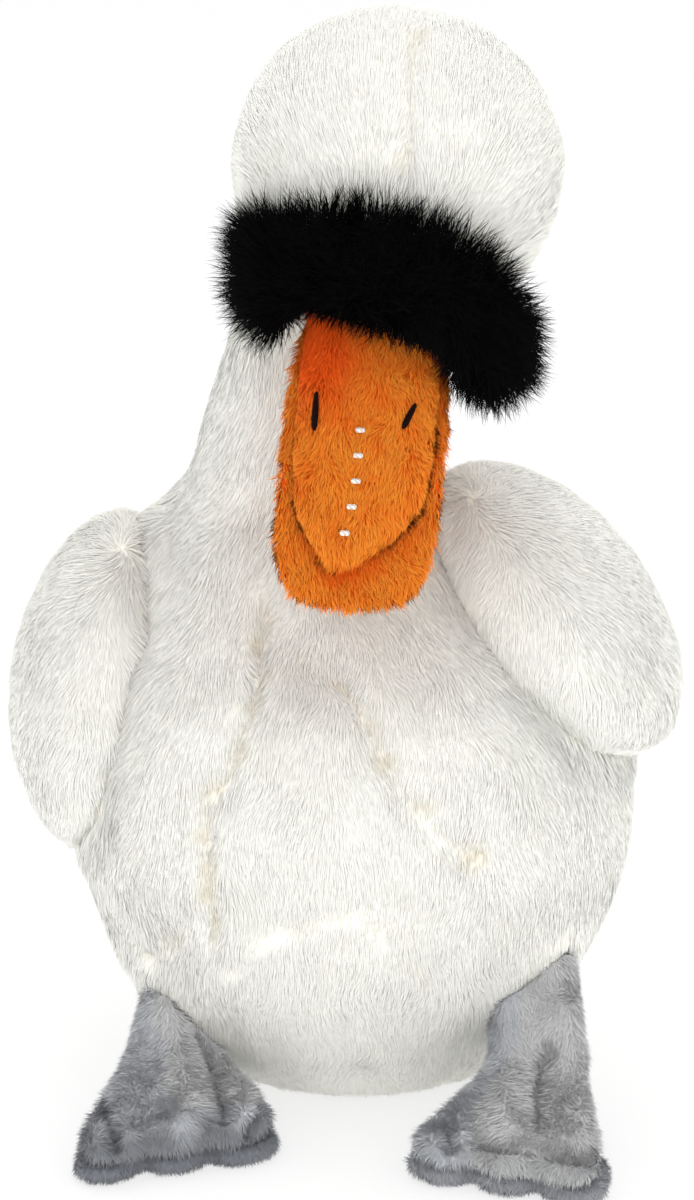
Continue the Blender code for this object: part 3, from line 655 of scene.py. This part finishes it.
def plush(name, root, tip, crease_and_shade, shade, spread, patch, patch_scale, gloss=0.2, sheen=0.2):
    """A pile material: tinted strands with a soft sheen."""
    material = bpy.data.materials.new(name)
    material.use_nodes = True
    nodes, links = material.node_tree.nodes, material.node_tree.links
    shader = nodes["Principled BSDF"]
    shader.inputs["Roughness"].default_value = PILE_ROUGHNESS
    shader.inputs["Specular IOR Level"].default_value = gloss
    shader.inputs["Sheen Weight"].default_value = sheen
    shader.inputs["Sheen Roughness"].default_value = SHEEN_ROUGHNESS
    tint = nodes.new("ShaderNodeGroup")
    tint.node_tree = TINT
    for label, value in (("Root", root), ("Tip", tip), ("Crease", crease_and_shade), ("Shade", shade)):
        tint.inputs[label].default_value = colour(*value)
    for label, value in (("Spread", spread), ("Patch", patch), ("Patch Scale", patch_scale)):
        tint.inputs[label].default_value = value
    links.new(tint.outputs["Color"], shader.inputs["Base Color"])
    links.new(both_sides_lit(nodes, links), shader.inputs["Normal"])
    return material


WHITE = plush(
    "white_pile", root=(253, 251, 240), tip=(255, 255, 250), crease_and_shade=(231, 220, 192), shade=(250, 241, 214),
    spread=0.2, patch=0.35, patch_scale=45.0,
)
BLACK = plush(
    "black_pile", root=(1, 1, 1), tip=(8, 8, 9), crease_and_shade=(1, 1, 1), shade=(1, 1, 1),
    spread=0.5, patch=0.3, patch_scale=120.0, gloss=0.05, sheen=0.0,
)
ORANGE = plush(
    "orange_pile", root=(255, 102, 18), tip=(255, 162, 54), crease_and_shade=(230, 80, 12), shade=(255, 84, 18),
    spread=0.5, patch=0.45, patch_scale=150.0, gloss=0.1, sheen=0.0,
)
GREY = plush(
    "grey_pile", root=(212, 212, 213), tip=(242, 242, 242), crease_and_shade=(124, 127, 132), shade=(212, 215, 221),
    spread=0.4, patch=0.35, patch_scale=110.0,
)
SOLE = plush(
    "dark_grey_pile", root=(156, 158, 163), tip=(202, 203, 207), crease_and_shade=(120, 122, 126),
    shade=(132, 135, 142), spread=0.5, patch=0.4, patch_scale=110.0,
)
print("Plush finishes:", [finish.name for finish in (WHITE, BLACK, ORANGE, GREY, SOLE)])


# %% [markdown]
# ## Threads
# The nostrils and the row on the bill are sewn with spun thread. Each ply could be a twisted tube, but at
# this size only the slanted bands show, so a wave texture raises them on the solids themselves and paints
# the grooves between them darker as shade.

# %% The threads
THREAD_ROUGHNESS = 0.85
THREAD_GLOSS = 0.1
PLY_SCALE = 500.0
PLY_WOBBLE = 1.5
PLY_HEIGHT = 0.2 * MM


def thread(name, dark, light):
    """Spun thread: fine slanted plies across a narrow bar, painted darker in the grooves as shade."""
    material = bpy.data.materials.new(name)
    material.use_nodes = True
    nodes, links = material.node_tree.nodes, material.node_tree.links
    shader = nodes["Principled BSDF"]
    shader.inputs["Roughness"].default_value = THREAD_ROUGHNESS
    shader.inputs["Specular IOR Level"].default_value = THREAD_GLOSS
    place = nodes.new("ShaderNodeTexCoord")
    plies = nodes.new("ShaderNodeTexWave")
    plies.bands_direction = "DIAGONAL"
    plies.inputs["Scale"].default_value = PLY_SCALE
    plies.inputs["Distortion"].default_value = PLY_WOBBLE
    groove_shade_ramp = nodes.new("ShaderNodeValToRGB")
    groove_shade_ramp.color_ramp.elements[0].color = colour(*dark)
    groove_shade_ramp.color_ramp.elements[1].color = colour(*light)
    bump = nodes.new("ShaderNodeBump")
    bump.inputs["Distance"].default_value = PLY_HEIGHT
    links.new(place.outputs["Object"], plies.inputs["Vector"])
    links.new(plies.outputs["Fac"], groove_shade_ramp.inputs["Fac"])
    links.new(groove_shade_ramp.outputs["Color"], shader.inputs["Base Color"])
    links.new(plies.outputs["Fac"], bump.inputs["Height"])
    links.new(bump.outputs["Normal"], shader.inputs["Normal"])
    return material


WHITE_THREAD = thread("white_twist", (205, 198, 186), (250, 247, 240))
DARK_THREAD = thread("dark_twist", (10, 4, 3), (30, 12, 9))
for name in SMALL:
    twist = WHITE_THREAD if name.startswith("stitch") else DARK_THREAD
    NODES[name].data.materials.clear()
    NODES[name].data.materials.append(twist)
print("Thread on", sorted(SMALL))


# %% [markdown]
# ## The white coat
# The body, the wings and the tail share one white plush. Its pile is silky and 7 to 8 mm long. It could
# stand up at that length, but the fur of such a toy lies flat, so strands of 4.4 mm are laid down along it.
# They are many and fine, and their shading follows the cloth below, so that light rolls over the body as
# it does over soft fur. On top the pile is combed back, because a strand that leans towards the eye shows
# its dark underside.

# %% White coat values
WHITE_FACE = 2.6 * MM
WHITE_SUNK = 0.8 * MM
WHITE_SWELL = 0.35 * MM
WHITE_LENGTH = 4.4 * MM
WHITE_WIDTH = 0.4 * MM
WHITE_LEAN = 4.4
WHITE_RUFFLE = 0.3
WHITE_GLINT = 0.05
WHITE_ROLL = 0.4
WHITE_WOBBLE = 0.6
WHITE_TUFT = 18 * MM

# %% The flow down the body and back over the head
HEAD_FROM = 0.228
HEAD_BLEND = 20 * MM
TOP_BACK = 1.2
FRONT_KEPT = 0.6
SIDES_BACK = 0.4
BROW_UP = 0.9


def back_over_top(normals):
    """How far the pile runs back where the cloth faces up, but not where it also faces the front."""
    faces_up, behind = np.clip(normals[:, 2], 0, 1), np.clip(normals[:, 1] + FRONT_KEPT, 0, 1)
    return TOP_BACK * faces_up**2 * behind


def downwards(places, normals):
    """The pile hangs down the body, and on the head it runs up the brow and back over the crown."""
    flow = np.tile((0.0, 0.0, -1.0), (len(places), 1))
    flow[:, 1] += back_over_top(normals) + SIDES_BACK * normals[:, 0] ** 2
    swept = np.tile((0.0, 1.0, 0.0), (len(places), 1))
    swept[:, 2] = -BROW_UP * normals[:, 1]
    head = np.clip((places[:, 2:] - HEAD_FROM) / HEAD_BLEND, 0, 1)
    return flow * (1 - head) + swept * head


# %% Comb and grow the white coat
def white_comb(piece, node, flow, sunk, seed):
    """Combs white cloth into tufts, with soft lumps and a rise beside its seams."""
    comb(piece, node, flow, WHITE_WOBBLE, WHITE_TUFT, sunk, seed, swell=WHITE_SWELL, join=1.0)


def white_pile(piece, density, seed, keep=True):
    """Grows the white coat's strands, and leaves the cloth itself out where keep is false."""
    grow(
        piece, WHITE, SHORT_STRAND, density, WHITE_LENGTH, WHITE_WIDTH, WHITE_LEAN, WHITE_RUFFLE,
        WHITE_GLINT, WHITE_ROLL, seed, keep,
    )


def declare(piece, node):
    """Hangs the piece on the root and hides the solid it stands for."""
    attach(piece, "root")
    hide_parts(node)


# %% [markdown]
# ## Seams of the body
# The breast is a panel of its own: its two seams run down from under the bill, and the pile parts over
# them and shows its cream backing, painted darker as shade. A third seam runs over the head, and soft folds
# cross the belly. They could be grooves in the solids, but they are soft, so they are sewn into the cloth
# here. The coat is grown in three pieces, breast, back and head.

# %% Seam lines, in metres
BREAST_SEAMS = (
    ((-0.0222, -0.072, 0.145), (-0.024, -0.078, 0.1285), (-0.0279, -0.080, 0.121), (-0.0306, -0.082, 0.1106),
     (-0.0373, -0.082, 0.1046), (-0.0361, -0.083, 0.083), (-0.036, -0.079, 0.062)),
    ((-0.0002, -0.075, 0.135), (0.0063, -0.080, 0.124), (0.0143, -0.084, 0.110), (0.0248, -0.084, 0.096),
     (0.0353, -0.082, 0.088)),
)
HEAD_SEAM = (((0.0195, 0.010, 0.3060), (0.0188, -0.0324, 0.3037), (0.0177, -0.0524, 0.2883),
              (0.0165, -0.0674, 0.2776), (0.0162, -0.0724, 0.2600)),)
BELLY_FOLDS = (
    ((-0.031, -0.078, 0.054), (-0.020, -0.080, 0.065), (0.001, -0.082, 0.072)),
    ((0.006, -0.082, 0.072), (0.022, -0.078, 0.050)),
    ((-0.054, -0.060, 0.051), (-0.042, -0.066, 0.064)),
)

# %% Body, neck and head
NECK_SPLIT = 0.168
FRONT_SPLIT = -0.01
body = cloth_of("body", WHITE_FACE)
sew(body, BREAST_SEAMS, depth=1.5 * MM, half_width=2.2 * MM, tint=0.8)
sew(body, HEAD_SEAM, depth=1.2 * MM, half_width=2.4 * MM, tint=0.5)
sew(body, BELLY_FOLDS, depth=0.9 * MM, half_width=3.5 * MM, tint=0.15)
places = points_of(body.data)
white_comb(body, "body", downwards, WHITE_SUNK, 3)
cover = read(body.data, "cover")
on_torso, in_front = places[:, 2] < NECK_SPLIT, places[:, 1] < FRONT_SPLIT
COAT_PARTS = (
    ("breast_pile", on_torso & in_front, 4.0, 5),
    ("back_pile", on_torso & ~in_front, 3.4, 6),
    ("head_pile", ~on_torso, 3.6, 7),
)
for name, share, density, seed in COAT_PARTS:
    area = new_piece(name, body.data.copy())
    store(area.data, "cover", cover * share)
    white_pile(area, density, seed, keep=False)
    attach(area, "root")
store(body.data, "cover", cover * 0)
white_pile(body, 0.0, 4)
declare(body, "body")

# %% [markdown]
# ## Wings and tail
# They are flat bags sewn to the body, covered in the same plush. Long feathers could be modelled, but the
# real wings have none. The pile is trimmed towards the end of each bag, so that the end stays round.

# %% Wings and tail
TAIL_SUNK = 2.2 * MM
WING_OUT, WING_BACK = 0.5, 0.3
TRIMMED_END = 12 * MM
TRIMMED_LEAST = 0.3


def backwards(places, normals):
    """The pile of a wing sweeps down and back, and outwards from its upper edge."""
    flow = np.tile((0.0, 0.25, -1.0), (len(places), 1))
    flow[:, 0] += WING_OUT * np.sign(places[:, 0]) * np.clip(normals[:, 2], 0, 1) ** 2
    flow[:, 1] += back_over_top(normals) + WING_BACK * normals[:, 0] ** 2
    return flow


for node, density, seed in (("left_wing", 3.8, 11), ("right_wing", 3.8, 12), ("tail", 3.6, 13)):
    wing = cloth_of(node, WHITE_FACE)
    white_comb(wing, node, backwards, TAIL_SUNK if node == "tail" else WHITE_SUNK, seed)
    above_end = points_of(wing.data)[:, 2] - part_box(node)[0].z
    trim(wing, np.clip(above_end / TRIMMED_END, TRIMMED_LEAST, 1))
    white_pile(wing, density, seed)
    declare(wing, node)

# %% [markdown]
# ## The black band
# The band is long, loose pile. One dark pad would give its outline, but not the fine locks that stand out
# all round the face. So its strands are longer, bent, and combed away from the band's middle. Near the bill
# they are shorter, and at the left cheek of the picture they are a little longer.

# %% The flow of the band, and where its pile is shorter or longer
BAND_STRETCH = 0.45
BAND_HANG = -0.15
BILL_NEAR = 12 * MM
BILL_SHORT = 0.35
BILL_ASIDE = 4 * MM
WISP_REACH, WISP_BLEND = 16 * MM, 12 * MM
WISP_LONGER = 0.15
mask_low, mask_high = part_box("mask")
mask_middle = np.array((mask_low + mask_high) / 2)


def away_from_band(places, normals):
    """Outwards from the band's long middle line, and down."""
    gap = places - mask_middle
    gap[:, 0] *= BAND_STRETCH
    return unit(gap) + np.array((0, 0, BAND_HANG))


def gaps_to(node, places):
    """How far each place is from a solid's surface."""
    return np.array([TREES[node].find_nearest(Vector(place))[3] for place in places])


def near_bill(places):
    """Shares of the pile's length: less above and below the bill, all of it at its sides."""
    low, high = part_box("upper_bill")
    gaps = np.minimum(gaps_to("upper_bill", places), gaps_to("lower_bill", places))
    aside = np.maximum(low.x - places[:, 0], places[:, 0] - high.x) / BILL_ASIDE
    return np.clip(gaps / BILL_NEAR + np.clip(aside, 0, 1), BILL_SHORT, 1)


# %% Mask
mask = cloth_of("mask", face_size=1.8 * MM)
comb(mask, "mask", away_from_band, wobble=1.1, pitch=6 * MM, inset=4.4 * MM, seed=21)
places = points_of(mask.data)
trim(mask, near_bill(places))
trim(mask, 1 + WISP_LONGER * np.clip((mask_low.x + WISP_REACH - places[:, 0]) / WISP_BLEND, 0, 1))
grow(
    mask, BLACK, BENT_STRAND, density=6.5, length=13 * MM, width=0.3 * MM, lean=0.8, ruffle=0.42,
    glint=0.5, roll=1.2, seed=21,
)
declare(mask, "mask")

# %% [markdown]
# ## The bill
# Two pads of short orange pile, one on the other. Smooth orange cloth would look like felt, so short, dense
# strands run towards the tip. They part around the sewn nostrils and stitches, where the thread pulls the
# cloth in. The lower pad is painted redder and darker as the upper one's shade, and its pile is shorter
# there. The upper pad is redder at its corner beside the mask.

# %% The flow of the bill, and where thread parts it
THREAD_REACH = 3.2 * MM
THREAD_SHORT = 0.25


def to_tip(places, normals):
    """The pile runs down the bill."""
    return np.tile((0.0, -0.35, -1.0), (len(places), 1))


THREADS = [np.array((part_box(name)[0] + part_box(name)[1]) / 2) for name in SMALL]


def part_round_threads(piece):
    """Shorter pile around each stitch and nostril."""
    mesh = piece.data
    places, pile = points_of(mesh), read(mesh, "pile")
    for middle in THREADS:
        gap = np.linalg.norm(places - middle, axis=1)
        pile = np.minimum(pile, np.clip(gap / THREAD_REACH, THREAD_SHORT, 1))
    store(mesh, "pile", pile)


# %% Shade and trimmed pile of the upper pad
SIDE_SHORTER = 0.6
SIDE_GAIN, SIDE_FROM = 2, 0.9
CORNER_IN, CORNER_DOWN = 6 * MM, 12 * MM
CORNER_REACH = 17 * MM
CORNER_GAIN, CORNER_MOST = 1.25, 0.85


def finish_upper(pad):
    """Shorter pile at the sides, and a redder patch at the corner beside the mask."""
    aside = np.abs(normals_of(pad.data)[:, 0])
    trim(pad, 1 - SIDE_SHORTER * np.clip(SIDE_GAIN * aside - SIDE_FROM, 0, 1))
    low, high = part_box("upper_bill")
    corner = points_of(pad.data) - np.array((low.x + CORNER_IN, 0, high.z - CORNER_DOWN))
    away = np.linalg.norm(corner[:, [0, 2]], axis=1)
    store(pad.data, "shade", np.clip(CORNER_GAIN - away / CORNER_REACH, 0, CORNER_MOST))


# %% Shade and trimmed pile of the lower pad
MOUTH_GAIN = 1.3
MOUTH_SHADE = 2.4 * MM
MOUTH_TRIM = 4 * MM
MOUTH_SHORT = 0.5


def finish_lower(pad):
    """Painted shade, redder and darker, and shorter pile close to the upper pad."""
    gaps = gaps_to("upper_bill", points_of(pad.data))
    store(pad.data, "shade", np.clip(MOUTH_GAIN - gaps / MOUTH_SHADE, 0, 1))
    trim(pad, np.clip(gaps / MOUTH_TRIM, MOUTH_SHORT, 1))


# %% Upper and lower pads
for node, finish_pad, density, seed in (
    ("upper_bill", finish_upper, 7.0, 31),
    ("lower_bill", finish_lower, 5.6, 32),
):
    pad = cloth_of(node, face_size=1.4 * MM)
    comb(pad, node, to_tip, wobble=1.1, pitch=7 * MM, inset=1.6 * MM, seed=seed, reach=0.4 * MM)
    part_round_threads(pad)
    finish_pad(pad)
    grow(
        pad, ORANGE, BENT_STRAND, density, length=4.2 * MM, width=0.32 * MM, lean=1.6, ruffle=0.4,
        glint=0.3, roll=1.0, seed=seed,
    )
    declare(pad, node)

# %% [markdown]
# ## The feet
# Grey plush with a very short pile covers the legs and webs, and a darker grey sole closes them below. The
# webs have soft ridges along their toes and folds between them, which are pushed out of and sewn into one
# net, as the seams of the body are, and the folds are painted darker as shade. Where a panel's pile lies the
# other way it looks darker. Turned pile would do that in one light only, so the inner panel of each foot is
# painted darker as shade up to a ragged line, and so are the lower edge of each foot and the right sole.

# %% Folds and panels of the feet
FOOT_FOLDS = {
    "left": (((0.0549, -0.0774, 0.0326), (0.0520, -0.0904, 0.0278), (0.0512, -0.1024, 0.0222)),
             ((0.0302, -0.0874, 0.0241), (0.0252, -0.0974, 0.0213), (0.0281, -0.1094, 0.0173)),
             ((0.0351, -0.1024, 0.0172), (0.0457, -0.1104, 0.0188), (0.0685, -0.1124, 0.0169))),
    "right": (((-0.0388, -0.0674, 0.0316), (-0.0347, -0.0804, 0.0253), (-0.0324, -0.0954, 0.0205)),
              ((-0.0662, -0.0974, 0.0236), (-0.0625, -0.1074, 0.0207), (-0.0602, -0.1124, 0.0180)),
              ((-0.0216, -0.0974, 0.0242), (-0.0230, -0.1024, 0.0200), (-0.0245, -0.1074, 0.0170))),
}
FOOT_RIDGES = {
    "left": (((0.0440, -0.070, 0.0430), (0.0440, -0.086, 0.0340), (0.0430, -0.100, 0.0230)),
             ((0.0600, -0.070, 0.0400), (0.0620, -0.086, 0.0320), (0.0640, -0.100, 0.0220))),
    "right": (((-0.0490, -0.050, 0.0360), (-0.0450, -0.070, 0.0260), (-0.0420, -0.086, 0.0190)),
              ((-0.0300, -0.060, 0.0300), (-0.0270, -0.075, 0.0240), (-0.0240, -0.090, 0.0200))),
}
PANEL_EDGES = {
    "left": ((0.0479, -0.0624, 0.0398), (0.0459, -0.0744, 0.0329), (0.0413, -0.0874, 0.0258),
             (0.0370, -0.0974, 0.0230), (0.0324, -0.1044, 0.0186)),
    "right": ((-0.0528, -0.0474, 0.0333), (-0.0480, -0.0724, 0.0276), (-0.0480, -0.0874, 0.0224),
              (-0.0436, -0.0974, 0.0213), (-0.0365, -0.1004, 0.0203), (-0.0273, -0.1004, 0.0200),
              (-0.0143, -0.0924, 0.0200)),
}


# %% The darker panel and the dark rim
PANEL_SHADE = 0.85
PANEL_RAGGED = 1.6 * MM
PANEL_TUFT = 2.2 * MM
PANEL_BLEND = 1.2 * MM
RIM_SHADE = {"left": 0.45, "right": 0.9}
RIM_HEIGHT = 16 * MM
RIM_RAGGED = 4 * MM
RIM_TUFT = 9 * MM
RIM_BLEND = 5 * MM
RIM_SEED = 5


def panel_shade(places, edge, seed):
    """Painted shade: 1 on the inner side of a ragged edge line, 0 on the other."""
    spots, corners = places @ VIEW_PLANE, np.array(edge) @ VIEW_PLANE
    line_x = np.interp(-spots[:, 1], -corners[:, 1], corners[:, 0])
    ragged = PANEL_RAGGED * wander(places, PANEL_TUFT, seed)[:, 0]
    return np.clip((line_x - spots[:, 0] + ragged) / PANEL_BLEND + 0.5, 0, 1)


def rim_shade(places, most):
    """Painted shade along the foot's lower edge, up to a ragged line."""
    ragged = RIM_RAGGED * wander(places, RIM_TUFT, RIM_SEED)[:, 2]
    return most * np.clip((RIM_HEIGHT - places[:, 2] + ragged) / RIM_BLEND, 0, 1)


# %% Feet and soles
# painted shade: the right sole is darker than the left
SOLE_SHADE = {"left": 0.3, "right": 1.0}
GREY_PILE = {"width": 0.34 * MM, "lean": 1.2, "ruffle": 0.35, "glint": 0.4, "roll": 1.0}
for side, seed in (("left", 41), ("right", 42)):
    foot = cloth_of(side + "_foot", face_size=1.4 * MM)
    sew(foot, FOOT_RIDGES[side], depth=-3.0 * MM, half_width=4.0 * MM, tint=0.0)
    # the folds are painted darker as shade
    sew(foot, FOOT_FOLDS[side], depth=3.6 * MM, half_width=2.2 * MM, tint=0.6)
    comb(foot, side + "_foot", to_tip, wobble=0.9, pitch=8 * MM, inset=1.0 * MM, seed=seed, reach=0.4 * MM)
    places = points_of(foot.data)
    store(foot.data, "shade", PANEL_SHADE * panel_shade(places, PANEL_EDGES[side], seed + 5))
    # painted shade along the lower edge, darker on the right foot, kept with the folds' shade
    rim = rim_shade(places, RIM_SHADE[side])
    store(foot.data, "crease_and_shade", np.maximum(read(foot.data, "crease_and_shade"), rim))
    grow(foot, GREY, SHORT_STRAND, density=7.0, length=3.0 * MM, seed=seed, **GREY_PILE)
    declare(foot, side + "_foot")
    sole = cloth_of(side + "_sole", face_size=1.2 * MM, rounds=2)
    comb(
        sole, side + "_sole", to_tip, wobble=0.9, pitch=8 * MM, inset=0.4 * MM, seed=seed + 2, reach=0.3 * MM,
    )
    store(sole.data, "shade", np.full(len(sole.data.vertices), SOLE_SHADE[side]))
    grow(sole, SOLE, SHORT_STRAND, density=4.0, length=2.4 * MM, seed=seed + 2, **GREY_PILE)
    declare(sole, side + "_sole")

# %% Put the strand shapes away
for shape in (SHORT_STRAND, BENT_STRAND):
    mesh = shape.data
    bpy.data.objects.remove(shape)
    bpy.data.meshes.remove(mesh)

# %% [markdown]
# ## Floor and light
# The toy sits on a plain pale floor, in soft and even light that comes mostly from the front, with a lamp
# above and one behind it for the rims. To the camera the floor is white, and it keeps a faint shadow under
# the feet. A white card would turn grey in this light, so the floor also glows a little.

# %% Floor
FLOOR_REACH = 6.0
FLOOR_MATT, FLOOR_SHOWN = 0.9, 0.3
FLOOR_GLOW = 0.72
FLOOR_FILL_GLOW = 0.31


def floor_finish():
    """White to the camera, and a pale matt card that glows a little to everything else."""
    material = bpy.data.materials.new("pale_floor")
    material.use_nodes = True
    nodes, links = material.node_tree.nodes, material.node_tree.links
    nodes.clear()
    path = nodes.new("ShaderNodeLightPath")
    matt, shown = nodes.new("ShaderNodeBsdfDiffuse"), nodes.new("ShaderNodeBsdfDiffuse")
    matt.inputs["Color"].default_value = (FLOOR_MATT, FLOOR_MATT, FLOOR_MATT, 1)
    shown.inputs["Color"].default_value = (FLOOR_SHOWN, FLOOR_SHOWN, FLOOR_SHOWN, 1)
    glow = nodes.new("ShaderNodeEmission")
    glow.inputs["Strength"].default_value = FLOOR_GLOW
    both = nodes.new("ShaderNodeAddShader")
    choice = nodes.new("ShaderNodeMixShader")
    result = nodes.new("ShaderNodeOutputMaterial")
    links.new(shown.outputs[0], both.inputs[0])
    links.new(glow.outputs[0], both.inputs[1])
    links.new(path.outputs["Is Camera Ray"], choice.inputs[0])
    # the floor glows onto the toy as a fill light, though it is no lamp
    bounce = nodes.new("ShaderNodeEmission")
    bounce.inputs["Strength"].default_value = FLOOR_FILL_GLOW
    lit = nodes.new("ShaderNodeAddShader")
    links.new(matt.outputs[0], lit.inputs[0])
    links.new(bounce.outputs[0], lit.inputs[1])
    links.new(lit.outputs[0], choice.inputs[1])
    links.new(both.outputs[0], choice.inputs[2])
    links.new(choice.outputs[0], result.inputs["Surface"])
    return material


floor_mesh = bpy.data.meshes.new("floor")
floor_corners = [(x * FLOOR_REACH, y * FLOOR_REACH, 0) for x, y in ((-1, -1), (1, -1), (1, 1), (-1, 1))]
floor_mesh.from_pydata(floor_corners, [], [(0, 1, 2, 3)])
floor_mesh.materials.append(floor_finish())
floor = new_piece("floor", floor_mesh)


# %% Light
MIDDLE = (0.0, 0.0, 0.15)
LAMPS = (
    ("key", (0.7, -1.4, 1.3), 1.4, 3.2),
    ("front", (0.1, -1.8, 0.3), 2.0, 12.5),
    ("top", (-0.1, 0.3, 1.5), 1.4, 4.5),
    ("back", (0.0, 1.8, 0.7), 2.0, 6.0),
)
SKY_STRENGTH = 0.89


def soft_lamp(name, place, size, power):
    """A square lamp of the given size in metres, turned to the middle of the toy."""
    lamp = bpy.data.lights.new(name, "AREA")
    lamp.size = size
    lamp.energy = power
    holder = bpy.data.objects.new(name, lamp)
    bpy.context.scene.collection.objects.link(holder)
    holder.location = place
    holder.rotation_euler = (Vector(MIDDLE) - Vector(place)).to_track_quat("-Z", "Y").to_euler()


for name, place, size, power in LAMPS:
    soft_lamp(name, place, size, power)
world = bpy.data.worlds.new("studio")
bpy.context.scene.world = world
world.use_nodes = True
sky = world.node_tree.nodes["Background"]
sky.inputs["Color"].default_value = (1, 1, 1, 1)
sky.inputs["Strength"].default_value = SKY_STRENGTH
print("Lamps:", [(name, power) for name, place, size, power in LAMPS], "watts")

# %% [markdown]
# ## Camera
# The photograph was taken with a long lens from a little above, and the camera repeats it. Light reaches
# the lower strands only after it has passed many others, so it may bounce more often than by default.

# %% Camera
TARGET = Vector((0.00076, -0.01243, 0.13943))
DISTANCE = 1.15
LENS, SENSOR = 125.45, 36
BOUNCES = 16
camera_data = bpy.data.cameras.new("camera")
camera_data.lens = LENS
camera_data.sensor_width = SENSOR
camera = bpy.data.objects.new("camera", camera_data)
bpy.context.scene.collection.objects.link(camera)
camera.location = TARGET + DISTANCE * Vector(TO_VIEWER)
camera.rotation_euler = (TARGET - camera.location).to_track_quat("-Z", "Y").to_euler()
bpy.context.scene.camera = camera
bpy.context.scene.view_settings.view_transform = "Standard"
bpy.context.scene.cycles.max_bounces = BOUNCES
bpy.context.scene.cycles.diffuse_bounces = BOUNCES
